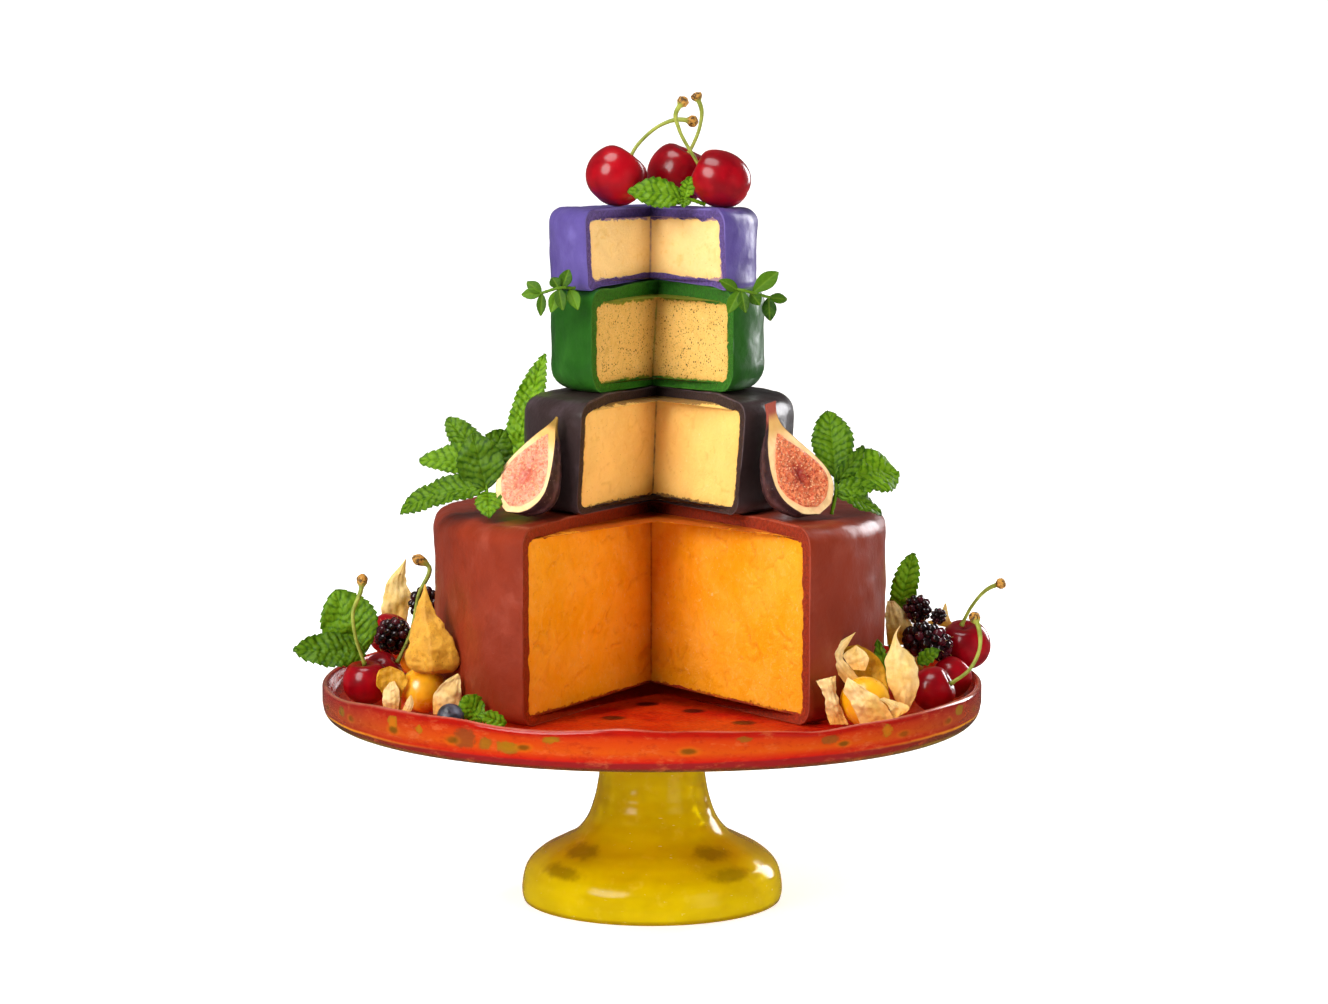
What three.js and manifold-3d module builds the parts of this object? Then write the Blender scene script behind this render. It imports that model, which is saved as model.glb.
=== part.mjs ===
// Celebration cheesecake: four waxed wheels of cheese stacked on a footed glass cake stand, each with
// a wedge cut from its front, dressed with cherries, figs, brambles, ground cherries, mint and oregano.
// Millimetres, +Z up. The origin is the centre of the foot's underside and -Y faces the cuts.

import * as THREE from 'three';
import { mergeVertices } from 'three/addons/utils/BufferGeometryUtils.js';
import Module from 'manifold-3d';

const wasm = await Module();
wasm.setup();

// ---- driving dimensions ----

const GAP = 0.3; // clearance between pieces that touch

const PLATE = { radius: 139.8, under: 80, floor: 86.4, top: 95, wall: 3, edge: 6, cove: 5, sides: 36 };

const FOOT = { radius: 55.3, shoulder: 24, waist: 22, hollow: 60, wall: 5, sides: 24 };

// A wheel's cut is given by the x of its apex and of its two corners on the rim, at the bottom and at
// the top of the wheel, so that the cut may lean.
const WHEELS = [
  { name: 'red', wax: 'waxRed', paste: 'cheeseOrange', x: 3.3, radius: 95.5, high: 169.2,
    roundLow: 8, roundHigh: 8, flat: 62, droop: 1.2, dome: 0, side: 4.5, lid: 5.5, base: 4.2,
    apexY: 15, apex: [-0.4, -0.4], left: [-52, -52], right: [64.2, 64.2], sides: 30, steps: 3 },
  { name: 'black', wax: 'waxBlack', paste: 'cheeseYellow', x: 3, radius: 56.8, high: 218.5,
    roundLow: 6, roundHigh: 7.5, flat: 36, droop: 2.3, dome: 0, side: 3.5, lid: 4.5, base: 2.8,
    apexY: 11, apex: [0.2, 2.1], left: [-31.2, -28.4], right: [35.4, 39.3], sides: 24, steps: 2 },
  { name: 'green', wax: 'waxGreen', paste: 'cheeseHerb', x: 2.5, radius: 44.9, high: 262,
    roundLow: 10, roundHigh: 8, flat: 30, droop: 0, dome: 2, side: 4, lid: 4.5, base: 4,
    apexY: 9, apex: [0, 2.4], left: [-24.9, -24.9], right: [34.1, 34.1], sides: 22, steps: 2 },
  { name: 'purple', wax: 'waxPurple', paste: 'cheeseCream', x: 0.8, radius: 43.2, high: 294.3,
    roundLow: 5, roundHigh: 6, flat: 30, droop: 0, dome: 0, side: 3.5, lid: 4.3, base: 2.8,
    apexY: 9, apex: [-0.8, -0.4], left: [-26.4, -27.7], right: [31.5, 29.8], sides: 22, steps: 2 },
];

const CHERRY = { sides: 9, rows: 5, dimple: 0.28 };
const BRAMBLE = { sides: 10, rows: 6, hollow: 0.84 };
const STEM = { radius: 0.8, knob: 1.7, sides: 5, steps: 5 };
const STALK = { radius: 0.8, knob: 0.8, sides: 4, steps: 2 };
const FIG = { width: 14.4, depth: 15.5, rind: 2.4, sides: 7,
  outline: [0.7, 0.96, 1, 0.85, 0.6, 0.33, 0.15] };
const LANTERN_OUTLINE = [0.7, 1, 0.85, 0.5, 0.18];
const LEAF = { thick: 1, fold: 0.25, tooth: 0.1, steps: 5 };
const HUSK = { thick: 0.8, fold: -0.35, tooth: 0, steps: 5 };

const LOOKS = {
  plateGlass: { color: 0xc8341c, roughness: 0.12, metalness: 0 },
  footGlass: { color: 0xc9b41a, roughness: 0.1, metalness: 0 },
  waxRed: { color: 0x8a3422, roughness: 0.35, metalness: 0 },
  waxBlack: { color: 0x332829, roughness: 0.35, metalness: 0 },
  waxGreen: { color: 0x1d5c1d, roughness: 0.35, metalness: 0 },
  waxPurple: { color: 0x5d4d94, roughness: 0.4, metalness: 0 },
  cheeseOrange: { color: 0xf7981a, roughness: 0.6, metalness: 0 },
  cheeseYellow: { color: 0xf8cf7e, roughness: 0.6, metalness: 0 },
  cheeseHerb: { color: 0xdcb560, roughness: 0.6, metalness: 0 },
  cheeseCream: { color: 0xfad58c, roughness: 0.6, metalness: 0 },
  cherry: { color: 0xa20d20, roughness: 0.15, metalness: 0 },
  cherryStem: { color: 0x9aa243, roughness: 0.5, metalness: 0 },
  bramble: { color: 0x2a1018, roughness: 0.2, metalness: 0 },
  groundCherry: { color: 0xf5a51d, roughness: 0.25, metalness: 0 },
  husk: { color: 0xe3b45c, roughness: 0.8, metalness: 0 },
  figSkin: { color: 0x4b3440, roughness: 0.5, metalness: 0 },
  figPulp: { color: 0xd9694c, roughness: 0.4, metalness: 0 },
  mint: { color: 0x4a8a1e, roughness: 0.6, metalness: 0 },
  oregano: { color: 0x4f8f26, roughness: 0.6, metalness: 0 },
  blueberry: { color: 0x2c2f42, roughness: 0.5, metalness: 0 },
};

const cake = new THREE.Group();
const kept = []; // pieces already set down, each a gap larger than it is

// ---- solids ----

const vec = (p) => new THREE.Vector3(...p);

// Closes a geometry into one solid whose faces point outwards.
function solid(geometry) {
  geometry.deleteAttribute('normal');
  geometry.deleteAttribute('uv');
  const merged = mergeVertices(geometry, 1e-4);
  const index = merged.index.array;
  const triangles = [];
  let volume = 0;
  const [a, b, c] = [new THREE.Vector3(), new THREE.Vector3(), new THREE.Vector3()];
  for (let i = 0; i < index.length; i += 3) {
    const [p, q, r] = index.slice(i, i + 3);
    if (p === q || q === r || r === p) continue;
    triangles.push(p, q, r);
    a.fromBufferAttribute(merged.attributes.position, p);
    b.fromBufferAttribute(merged.attributes.position, q);
    c.fromBufferAttribute(merged.attributes.position, r);
    volume += a.dot(b.cross(c));
  }
  if (volume < 0) triangles.reverse();
  const vertProperties = new Float32Array(merged.attributes.position.array);
  const triVerts = new Uint32Array(triangles);
  return new wasm.Manifold(new wasm.Mesh({ numProp: 3, vertProperties, triVerts }));
}

// Turns a profile of [radius, z] points about the upright axis through x.
function turned(profile, sides, x = 0) {
  const points = profile.map(([r, z]) => new THREE.Vector2(Math.max(r, 0), z));
  const geometry = new THREE.LatheGeometry(points, sides);
  geometry.rotateX(Math.PI / 2);
  geometry.translate(x, 0, 0);
  return solid(geometry);
}

// Skins a stack of rings, each with as many points, and closes it with a point at either end.
function loft(start, rings, end) {
  const sides = rings[0].length;
  const points = [start, ...rings.flat(), end];
  const last = points.length - 1;
  const index = [];
  for (let k = 0; k < sides; k++) {
    const next = (k + 1) % sides;
    index.push(0, 1 + next, 1 + k);
    for (let i = 0; i < rings.length - 1; i++) {
      const [a, b] = [1 + i * sides + k, 1 + i * sides + next];
      index.push(a, b, b + sides, a, b + sides, a + sides);
    }
    index.push(last, last - sides + k, last - sides + next);
  }
  const geometry = new THREE.BufferGeometry().setFromPoints(points);
  geometry.setIndex(index);
  return solid(geometry);
}

// Quarter of a circle from one angle to another, as [radius, z] points.
function arc(r, z, radius, from, to, steps) {
  return Array.from({ length: steps + 1 }, (_, i) => {
    const angle = THREE.MathUtils.degToRad(from + ((to - from) * i) / steps);
    return [r + radius * Math.cos(angle), z + radius * Math.sin(angle)];
  });
}

// Sets a piece down: what it would share with its neighbours is taken off it, with the gap between.
// make(grow) gives the solid, with its surface moved out by grow.
function place(name, look, make) {
  let body = make(0);
  for (const other of kept) body = body.subtract(other);
  const parts = body.decompose().sort((p, q) => q.volume() - p.volume());
  kept.push(make(GAP));
  show(name, look, parts[0]);
}

function show(name, look, body) {
  const { vertProperties, triVerts } = body.getMesh();
  const geometry = new THREE.BufferGeometry();
  geometry.setAttribute('position', new THREE.BufferAttribute(vertProperties, 3));
  geometry.setIndex(new THREE.BufferAttribute(triVerts, 1));
  geometry.computeVertexNormals();
  const mesh = new THREE.Mesh(geometry, new THREE.MeshStandardMaterial(LOOKS[look]));
  mesh.name = name;
  cake.add(mesh);
}

// ---- stand ----

// A thick round tray with a rounded lower edge, a low upright rim and a small cove inside it.
function plate(grow) {
  const { radius, under, floor, top, wall, edge, cove, sides } = PLATE;
  const outer = radius + grow;
  const inner = radius - wall - grow;
  return turned([
    [0, under - grow],
    ...arc(outer - edge, under + edge - grow, edge, -90, 0, 3),
    [outer, top - 1 + grow],
    [outer - 1, top + grow],
    [inner + 1, top + grow],
    [inner - 0.6, floor + cove + grow],
    [inner - cove * 0.6, floor + 1 + grow],
    [inner - cove * 1.4, floor + grow],
    [0, floor + grow],
  ], sides);
}

// A bell-shaped pedestal, open and hollow below, that narrows to a plain waist under the plate.
function foot() {
  const { radius, shoulder, waist, hollow, wall, sides } = FOOT;
  const head = PLATE.under - GAP;
  const outside = [
    [radius - 0.5, 0],
    [radius, shoulder * 0.12],
    [radius, shoulder * 0.35],
    [radius * 0.965, shoulder * 0.6],
    [radius * 0.872, shoulder * 0.83],
    [radius * 0.73, shoulder],
    [radius * 0.577, shoulder + 4.6],
    [waist + 6.4, shoulder + 9],
    [waist + 3, shoulder + 18],
    [waist + 0.9, shoulder + 27],
    [waist, head],
  ];
  const inside = [
    [0, hollow],
    [waist - wall * 1.6, hollow - 8],
    [waist - wall, shoulder + 14],
    [radius * 0.5, shoulder + 0.5],
    [radius * 0.76, shoulder * 0.68],
    [radius - wall, 0],
  ];
  return turned([...inside, ...outside, [0, head]], sides);
}

// ---- cheeses ----

// Outline of a wheel from the middle of its underside to the middle of its top. The top may droop
// towards its edge and swell in its middle, and the underside is hollow where it sits on a swelling.
function wheelOutline(wheel, low, inset, grow) {
  const { radius, high, roundLow, roundHigh, flat, droop, dome, side, lid, base, hollow } = wheel;
  const rim = radius - inset * side + grow;
  const bottom = low + inset * base - grow;
  const crown = high - inset * lid + grow;
  const curveLow = inset ? Math.max(roundLow - side, 2) : roundLow;
  const curveHigh = inset ? Math.max(roundHigh - side, 2) : roundHigh;
  const steps = inset ? 1 : wheel.steps;
  const shelf = inset ? [] : [[flat, crown]];
  return [
    [0, bottom + hollow],
    ...arc(rim - curveLow, bottom + curveLow, curveLow, -90, 0, steps),
    ...arc(rim - curveHigh, crown - droop - curveHigh, curveHigh, 0, 90, steps),
    ...shelf,
    [0, crown + dome],
  ];
}

// The wedge that is cut from a wheel: a three-sided prism that runs out past the rim, top and bottom.
function wedge(wheel, low) {
  const { x, radius, high, apexY, apex, left, right } = wheel;
  const reach = 1.5;
  const margin = 4;
  const ring = (level) => {
    const z = level ? high + margin : low - margin;
    const tip = new THREE.Vector3(apex[level], apexY, z);
    const corner = (cx) => new THREE.Vector3(cx, -Math.sqrt(radius ** 2 - (cx - x) ** 2), z);
    const out = (cx) => tip.clone().lerp(corner(cx), reach);
    return [tip, out(left[level]), out(right[level])];
  };
  const [below, above] = [ring(0), ring(1)];
  const middle = (points) => points[0].clone().add(points[1]).add(points[2]).divideScalar(3);
  return loft(middle(below), [below, above], middle(above));
}

function stackWheels() {
  let low = PLATE.floor + GAP;
  let hollow = 0;
  for (const spec of WHEELS) {
    const wheel = { ...spec, hollow };
    const outline = (inset, grow) => turned(wheelOutline(wheel, low, inset, grow), wheel.sides, wheel.x);
    const cut = wedge(wheel, low);
    show(`wax_${wheel.name}`, wheel.wax, outline(0, 0).subtract(outline(1, GAP)).subtract(cut));
    show(`cheese_${wheel.name}`, wheel.paste, outline(1, 0).subtract(cut));
    kept.push(outline(0, GAP).subtract(cut));
    low = wheel.high + GAP;
    hollow = wheel.dome;
  }
}

// ---- fruit ----

// Rings of a round body about +Z, as [angle from the top, distance from the middle] give them.
function roundRings(rows, sides, reach) {
  return Array.from({ length: rows }, (_, i) => {
    const polar = Math.PI * (1 - (i + 0.7) / (rows + 0.4));
    return Array.from({ length: sides }, (_, k) => {
      const turn = (2 * Math.PI * k) / sides;
      const length = reach(i, k);
      const flat = length * Math.sin(polar);
      return new THREE.Vector3(flat * Math.cos(turn), flat * Math.sin(turn), length * Math.cos(polar));
    });
  });
}

// Scales a unit body to its half sizes, turns its +Z to the axis and sets it in place.
function posed(start, rings, end, { at, size, axis = [0, 0, 1] }, grow) {
  const turn = new THREE.Quaternion().setFromUnitVectors(new THREE.Vector3(0, 0, 1), vec(axis).normalize());
  const half = vec(size).addScalar(grow);
  const set = (p) => p.clone().multiply(half).applyQuaternion(turn).add(vec(at));
  return loft(set(start), rings.map((ring) => ring.map(set)), set(end));
}

// A round fruit with a dimple where its stem goes in.
function fruit(spec, grow) {
  const { sides, rows } = CHERRY;
  const dimple = spec.dimple ?? CHERRY.dimple;
  const rings = roundRings(rows, sides, () => 1);
  const [foot, head] = [new THREE.Vector3(0, 0, -0.98), new THREE.Vector3(0, 0, 1 - dimple)];
  return posed(foot, rings, head, spec, grow);
}

// An aggregate berry: neighbouring drupelets stand out in turn around and along it.
function bramble(spec, grow) {
  const { sides, rows, hollow } = BRAMBLE;
  const rings = roundRings(rows, sides, (i, k) => ((i + k) % 2 ? 1 : hollow));
  return posed(new THREE.Vector3(0, 0, -0.9), rings, new THREE.Vector3(0, 0, 0.9), spec, grow);
}

// A bent stalk, which may swell into a dry knob at its free end.
function stem(route, { radius, knob, sides, steps }, grow) {
  const curve = new THREE.CatmullRomCurve3(route.map(vec));
  const { normals, binormals } = curve.computeFrenetFrames(steps, false);
  const rings = Array.from({ length: steps + 1 }, (_, i) => {
    const swell = i >= steps - 1 ? knob : radius;
    const centre = curve.getPointAt(i / steps);
    return Array.from({ length: sides }, (_, k) => {
      const turn = (2 * Math.PI * k) / sides;
      return centre.clone()
        .addScaledVector(normals[i], Math.cos(turn) * (swell + grow))
        .addScaledVector(binormals[i], Math.sin(turn) * (swell + grow));
    });
  });
  const onward = (t, length) => curve.getPointAt(t).addScaledVector(curve.getTangentAt(t), length);
  return loft(onward(0, -0.3 - grow), rings, onward(1, 1 + grow));
}

// Half a fig: a pear shape with a flat cut face, whose outward normal is face. The fig's outline is its
// width at even steps from its broad end to its neck.
function halfFig({ low, tip, face }, scale, grow) {
  const axis = vec(tip).sub(vec(low));
  const length = axis.length();
  axis.normalize();
  const out = vec(face).addScaledVector(axis, -vec(face).dot(axis)).normalize();
  const across = new THREE.Vector3().crossVectors(axis, out);
  const along = (t) => vec(low).addScaledVector(axis, length * (0.5 + (t - 0.5) * scale));
  const rings = FIG.outline.map((width, i) => {
    const centre = along((i + 0.6) / FIG.outline.length);
    const half = FIG.width * width * scale + grow;
    const deep = FIG.depth * width * scale + grow;
    return Array.from({ length: FIG.sides }, (_, k) => {
      const turn = (Math.PI * k) / (FIG.sides - 1);
      const back = Math.sin(turn);
      return centre.clone()
        .addScaledVector(across, Math.cos(turn) * half)
        .addScaledVector(out, grow * (1 - back) - back * deep);
    });
  });
  const end = (t, back) => along(t).addScaledVector(out, -back).addScaledVector(axis, t ? grow : -grow);
  return loft(end(0, 1.5), rings, end(1, 0.5));
}

function setFig(side, spec) {
  const pulpScale = 1 - FIG.rind / FIG.width;
  place(`fig_${side}`, 'figSkin', (grow) => {
    const whole = halfFig(spec, 1, grow);
    return grow ? whole : whole.subtract(halfFig(spec, pulpScale, GAP));
  });
  show(`fig_pulp_${side}`, 'figPulp', halfFig(spec, pulpScale, 0));
}

// ---- leaves and husks ----

// A leaf or petal from base to tip. Its upper side looks towards face, the midrib rises by arch, and
// the edges stand above it by fold times their distance from it. The edge may be toothed.
function blade({ base, tip, wide, face, arch = 0, belly = 0.45 }, { thick, fold, tooth, steps }, grow) {
  const [from, to, up] = [vec(base), vec(tip), vec(face)];
  const run = to.clone().sub(from);
  up.addScaledVector(run, -up.dot(run) / run.lengthSq()).normalize();
  const side = new THREE.Vector3().crossVectors(run, up).normalize();
  const middle = (s) => from.clone().lerp(to, s).addScaledVector(up, 4 * arch * s * (1 - s));
  const power = Math.log(0.5) / Math.log(belly);
  const rings = Array.from({ length: steps }, (_, i) => {
    const s = (i + 0.35) / (steps - 0.1);
    const shape = Math.sin(Math.PI * s ** power) ** 0.8;
    const half = (wide / 2) * shape * (1 + (i % 2 ? tooth : -tooth)) + grow;
    const deep = (thick / 2) * (0.6 + 0.4 * shape) + grow;
    const at = (across, above) => middle(s).addScaledVector(side, across).addScaledVector(up, above);
    return [at(-half, fold * half), at(0, deep), at(half, fold * half), at(0, -deep)];
  });
  const along = run.normalize();
  return loft(middle(0).addScaledVector(along, -grow), rings, middle(1).addScaledVector(along, grow));
}

// Leaves that grow from one thin stalk.
function sprig({ stalk, leaves }, leaf, grow) {
  const whole = stem(stalk, STALK, grow);
  return leaves.reduce((joined, spec) => joined.add(blade(spec, leaf, grow)), whole);
}

// A whole papery husk: a pointed lantern with five ridges.
function lantern({ low, tip, wide, deep }, grow) {
  const [from, to] = [vec(low), vec(tip)];
  const rings = LANTERN_OUTLINE.map((width, i) => {
    const centre = from.clone().lerp(to, (i + 0.3) / LANTERN_OUTLINE.length);
    return Array.from({ length: 10 }, (_, k) => {
      const turn = (2 * Math.PI * k) / 10;
      const reach = width * (k % 2 ? 0.8 : 1);
      const half = [wide / 2 * reach + grow, deep / 2 * reach + grow];
      const offset = [Math.cos(turn) * half[0], Math.sin(turn) * half[1], 0];
      return centre.clone().add(vec(offset));
    });
  });
  return loft(from, rings, to);
}

// ---- the arrangement ----

const CHERRIES = {
  top_left: { at: [-14.9, -6, 307.5], size: [12.9, 12.9, 12.6], axis: [0.55, 0.15, 0.8],
    stem: [[-9.5, -4.5, 314], [-7.4, -4, 318.3], [-2, -4, 324.5],
           [3.8, -4, 328.7], [9.7, -4, 330.8], [19.3, -6, 329.9]] },
  top_right: { at: [28.4, -12, 306.4], size: [11.6, 12.4, 13.4], axis: [-0.85, 0.1, 0.4],
    stem: [[20.5, -10.5, 310.5], [17.6, -10.5, 315.5], [11.3, -12, 327.1],
           [9.9, -13, 332.8], [14.2, -13, 340.2]] },
  top_back: { at: [11, 16, 308], size: [13, 13, 13.2], axis: [0.4, -0.1, 0.9],
    stem: [[15, 14.5, 316], [17.3, 14, 320.2], [20.3, 14, 328.2], [21, 14, 334.5], [18.2, 14, 342.2]] },
  left_front: { at: [-119.8, -22.6, 96.7], size: [9.8, 9.8, 9.8], axis: [0, -0.1, 1],
    stem: [[-120.2, -23.2, 104], [-124.1, -26, 118.1], [-124.7, -26, 126.4],
           [-121.4, -24, 135.9], [-120.8, -22, 142.3]] },
  left_mid: { at: [-115, 5, 95.8], size: [9, 9, 9], axis: [0.75, 0, 0.6],
    stem: [[-109, 5.5, 100], [-103.2, 8.5, 113], [-99.8, 10.5, 129],
           [-95.4, 11, 141], [-102.4, 11, 145.2]] },
  left_back: { at: [-114.6, 36, 107.8], size: [9.3, 9.3, 9.3], axis: [0.3, 0.5, 0.8] },
  right_front: { at: [116.7, -38.1, 96.3], size: [9.5, 9.5, 9.5], axis: [0.8, -0.15, 0.4],
    stem: [[123.5, -39.5, 98.5], [131.7, -42, 105.6], [135.4, -41, 113.3],
           [135.7, -38, 120.4], [133.1, -34, 127.8]] },
  right_mid: { at: [127.2, -4, 95.5], size: [8.7, 8.7, 8.7], axis: [0.6, 0.4, 0.6] },
  right_rim: { at: [134.4, 14, 106.6], size: [10.9, 10.9, 10.9], axis: [-0.1, -0.25, 1],
    stem: [[132.5, 11, 115.5], [136.8, 8, 124.6], [142.5, 5, 131.8], [149.6, 0, 135.8]] },
  right_far: { at: [136, 36, 105.2], size: [9.3, 9.3, 9.3], axis: [0.2, 0.5, 0.9] },
};

const BRAMBLES = {
  left_front: { at: [-111.5, 17, 110], size: [8.2, 8.2, 8.4], axis: [0.2, -0.3, 0.9] },
  left_back: { at: [-98.3, 20, 124], size: [7, 7, 7.4], axis: [0.3, 0, 1] },
  right_front: { at: [117.2, 1, 110], size: [8.6, 9.2, 11.4], axis: [1, -0.3, -0.35] },
  right_back: { at: [114, 16.5, 121.8], size: [6.6, 6.6, 6.4], axis: [-0.3, 0, 1] },
};

const GROUND_CHERRIES = {
  left: { at: [-94.5, -40.4, 96.5], size: [9.7, 9.7, 9.7] },
  right: { at: [86.5, -71.4, 97], size: [10.2, 10.2, 10.2] },
  left_back: { at: [-102, 48, 96.2], size: [9.5, 9.5, 9.4] },
  right_back: { at: [107.5, 16, 96.2], size: [9.3, 9.3, 9.4] },
};

const FIGS = {
  left: { low: [-59.2, -52, 172.2], tip: [-38.6, -46, 210.3], face: [-0.68, -0.7, 0.2] },
  right: { low: [68.6, -52, 171.2], tip: [49, -44, 216.2], face: [0.68, -0.7, 0.2] },
};

const HUSKS = {
  left_petal: { base: [-105.5, -48, 88], tip: [-109.5, -47, 107], wide: 13.5, face: [-0.3, -1, 0.2],
    belly: 0.62 },
  left_petal_right: { base: [-86.5, -54.5, 88], tip: [-80.5, -53.5, 105.6], wide: 10.5,
    face: [0.3, -1, 0.2] },
  left_tall: { base: [-109, 45, 105.6], tip: [-107, 39, 141], wide: 13.5, face: [-0.2, -1, 0.1],
    belly: 0.38 },
  right_curled: { base: [77, -60, 106], tip: [82.3, -60, 122.5], wide: 10, face: [-0.2, -1, 0.3], arch: -2 },
  right_broad: { base: [87, -58.5, 99], tip: [84, -59.5, 118], wide: 23, face: [0, -1, 0.2], belly: 0.5 },
  right_tall: { base: [101, -66, 89.5], tip: [101.5, -62, 126.5], wide: 13, face: [0.2, -1, 0], belly: 0.4 },
  right_low: { base: [76.5, -77, 88], tip: [70, -76, 108.3], wide: 13, face: [-0.2, -1, 0.2], belly: 0.4 },
  right_front: { base: [86, -83.5, 88.3], tip: [77.6, -84.5, 108.5], wide: 11.5, face: [0, -1, 0.2],
    belly: 0.4 },
  right_back: { base: [107, 14.5, 106.5], tip: [102, 16, 125.5], wide: 15, face: [0, -1, 0.3], belly: 0.55 },
};

const LANTERN = { low: [-89.8, -47, 103.6], tip: [-93.1, -43, 140.4], wide: 22.5, deep: 9 };

const LEAVES = {
  mint_left_back: { base: [-63, 17, 169.5], tip: [-46.5, 25, 231.5], wide: 16, face: [-0.3, -1, 0.2],
    belly: 0.6 },
  mint_plate_round: { base: [-126, -10, 107], tip: [-133, -4, 132.5], wide: 25, face: [0.1, -1, 0.3],
    belly: 0.5 },
  mint_plate_left: { base: [-121.5, -14, 105], tip: [-149.7, -24, 111.3], wide: 15.5, face: [0, -0.9, 0.6] },
  mint_plate_right: { base: [102, 27, 98], tip: [112.3, 25, 144.8], wide: 14, face: [-0.2, -1, 0.1],
    belly: 0.7 },
};

const SPRIGS = {
  mint_top: {
    stalk: [[12, -18, 298.6], [17, -17, 297.8], [22, -14.5, 296]],
    leaves: [
      { base: [13.2, -18, 298.4], tip: [-9.8, -20, 302.3], wide: 12.5, face: [0, -0.9, 0.45], arch: 1.5 },
      { base: [13.5, -18, 298.3], tip: [16, -18.5, 307.6], wide: 5.5, face: [0, -1, 0.2] },
      { base: [13.6, -18, 299], tip: [13.2, -21.5, 295.4], wide: 5, face: [0, -0.8, 0.8] },
    ],
  },
  mint_left: {
    stalk: [[-67, -43, 168.9], [-68, -40, 181], [-69.5, -31, 191]],
    leaves: [
      { base: [-69, -32, 189], tip: [-85.3, -20, 208.6], wide: 13, face: [0.2, -0.9, 0.4] },
      { base: [-69, -32, 190], tip: [-96.5, -30, 191.5], wide: 12, face: [0, -0.8, 0.6], arch: 1 },
      { base: [-67.8, -40.5, 180], tip: [-73.5, -37, 203], wide: 18, face: [0, -1, 0.2], arch: 1 },
      { base: [-68.6, -33, 187], tip: [-61, -23, 203.5], wide: 13, face: [0.2, -1, 0.3] },
      { base: [-67.8, -40.5, 180.5], tip: [-104.6, -38, 171.2], wide: 14, face: [0, -0.7, 0.7], arch: 4 },
      { base: [-68, -41, 178], tip: [-68.5, -55, 171.2], wide: 8, face: [-0.1, -0.6, 0.8] },
    ],
  },
  mint_right: {
    stalk: [[74, -41, 168.9], [75.8, -39, 178], [76, -31, 185]],
    leaves: [
      { base: [76, -32, 184], tip: [74.2, -15, 211.2], wide: 17, face: [0, -0.9, 0.4], belly: 0.5 },
      { base: [76, -33, 183], tip: [103.4, -17, 186.5], wide: 22, face: [0, -0.8, 0.6], belly: 0.6 },
      { base: [75.8, -36, 181.5], tip: [88.5, -31, 197], wide: 6, face: [0.4, -1, 0.1] },
      { base: [75.9, -38.5, 179], tip: [92.6, -37, 181.5], wide: 9, face: [0, -0.8, 0.6] },
      { base: [75.8, -39.5, 177.5], tip: [95.4, -38, 169.8], wide: 9, face: [0, -0.6, 0.8], arch: 2 },
    ],
  },
  oregano_left: {
    stalk: [[-30.5, -33.5, 261.6], [-38, -40, 262], [-45.5, -38, 260]],
    leaves: [
      { base: [-36.5, -38.6, 262.5], tip: [-33.8, -37, 270.2], wide: 5.5, face: [0, -1, 0.3] },
      { base: [-33.5, -36.2, 262], tip: [-30, -42, 254], wide: 5.5, face: [0, -1, 0.4] },
      { base: [-38, -40, 262.5], tip: [-36.2, -44.5, 253.8], wide: 5, face: [0, -1, 0.4] },
      { base: [-38, -40, 262.5], tip: [-40.7, -38, 267], wide: 5, face: [0, -1, 0.4] },
      { base: [-45, -38.2, 260.4], tip: [-51.2, -36, 264.8], wide: 5, face: [0, -1, 0.5] },
      { base: [-45, -38.2, 260.4], tip: [-53.2, -38, 259.6], wide: 5, face: [0, -1, 0.5] },
      { base: [-44.8, -38.2, 260.4], tip: [-45.3, -40.5, 251.2], wide: 4, face: [0, -1, 0.3] },
      { base: [-38.2, -40, 261.8], tip: [-41, -43, 252.8], wide: 5, face: [0, -1, 0.4] },
    ],
  },
  oregano_right: {
    stalk: [[32, -33.5, 261.6], [36.5, -38, 261.5], [48.5, -33, 258]],
    leaves: [
      { base: [35.5, -37.2, 261.4], tip: [27.6, -39.5, 266], wide: 5, face: [0, -1, 0.4] },
      { base: [36, -37.6, 261.4], tip: [31.3, -42, 252.4], wide: 5.5, face: [0, -1, 0.4] },
      { base: [36.8, -38, 261.4], tip: [38.4, -41.5, 252.6], wide: 5, face: [0, -1, 0.4] },
      { base: [41, -36, 260.2], tip: [52, -30.5, 269], wide: 7, face: [0.2, -1, 0.4], belly: 0.55 },
      { base: [48, -33.2, 258.2], tip: [56, -28.5, 257.2], wide: 4.5, face: [0.2, -1, 0.4] },
      { base: [48, -33.2, 258.4], tip: [48.6, -34, 248.8], wide: 6, face: [0, -1, 0.3] },
      { base: [40.5, -36.2, 260.4], tip: [44.5, -37.5, 255.5], wide: 5.5, face: [0, -1, 0.4] },
    ],
  },
};

show('stand_foot', 'footGlass', foot());
show('stand_plate', 'plateGlass', plate(0));
kept.push(plate(GAP));
stackWheels();

for (const [name, spec] of Object.entries(CHERRIES)) {
  place(`cherry_${name}`, 'cherry', (grow) => fruit(spec, grow));
}
for (const [name, spec] of Object.entries(GROUND_CHERRIES)) {
  place(`ground_cherry_${name}`, 'groundCherry', (grow) => fruit({ ...spec, dimple: 0.05 }, grow));
}
place('blueberry', 'blueberry', (grow) => {
  const spec = { at: [-81.1, -72.9, 92.3], size: [5.7, 5.7, 5.3], axis: [0.3, -0.6, 0.7], dimple: 0.3 };
  return fruit(spec, grow);
});
for (const [name, spec] of Object.entries(BRAMBLES)) {
  place(`bramble_${name}`, 'bramble', (grow) => bramble(spec, grow));
}
for (const [name, spec] of Object.entries(CHERRIES)) {
  if (spec.stem) place(`stem_${name}`, 'cherryStem', (grow) => stem(spec.stem, STEM, grow));
}
for (const [side, spec] of Object.entries(FIGS)) setFig(side, spec);
place('husk_left_lantern', 'husk', (grow) => lantern(LANTERN, grow));
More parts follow.
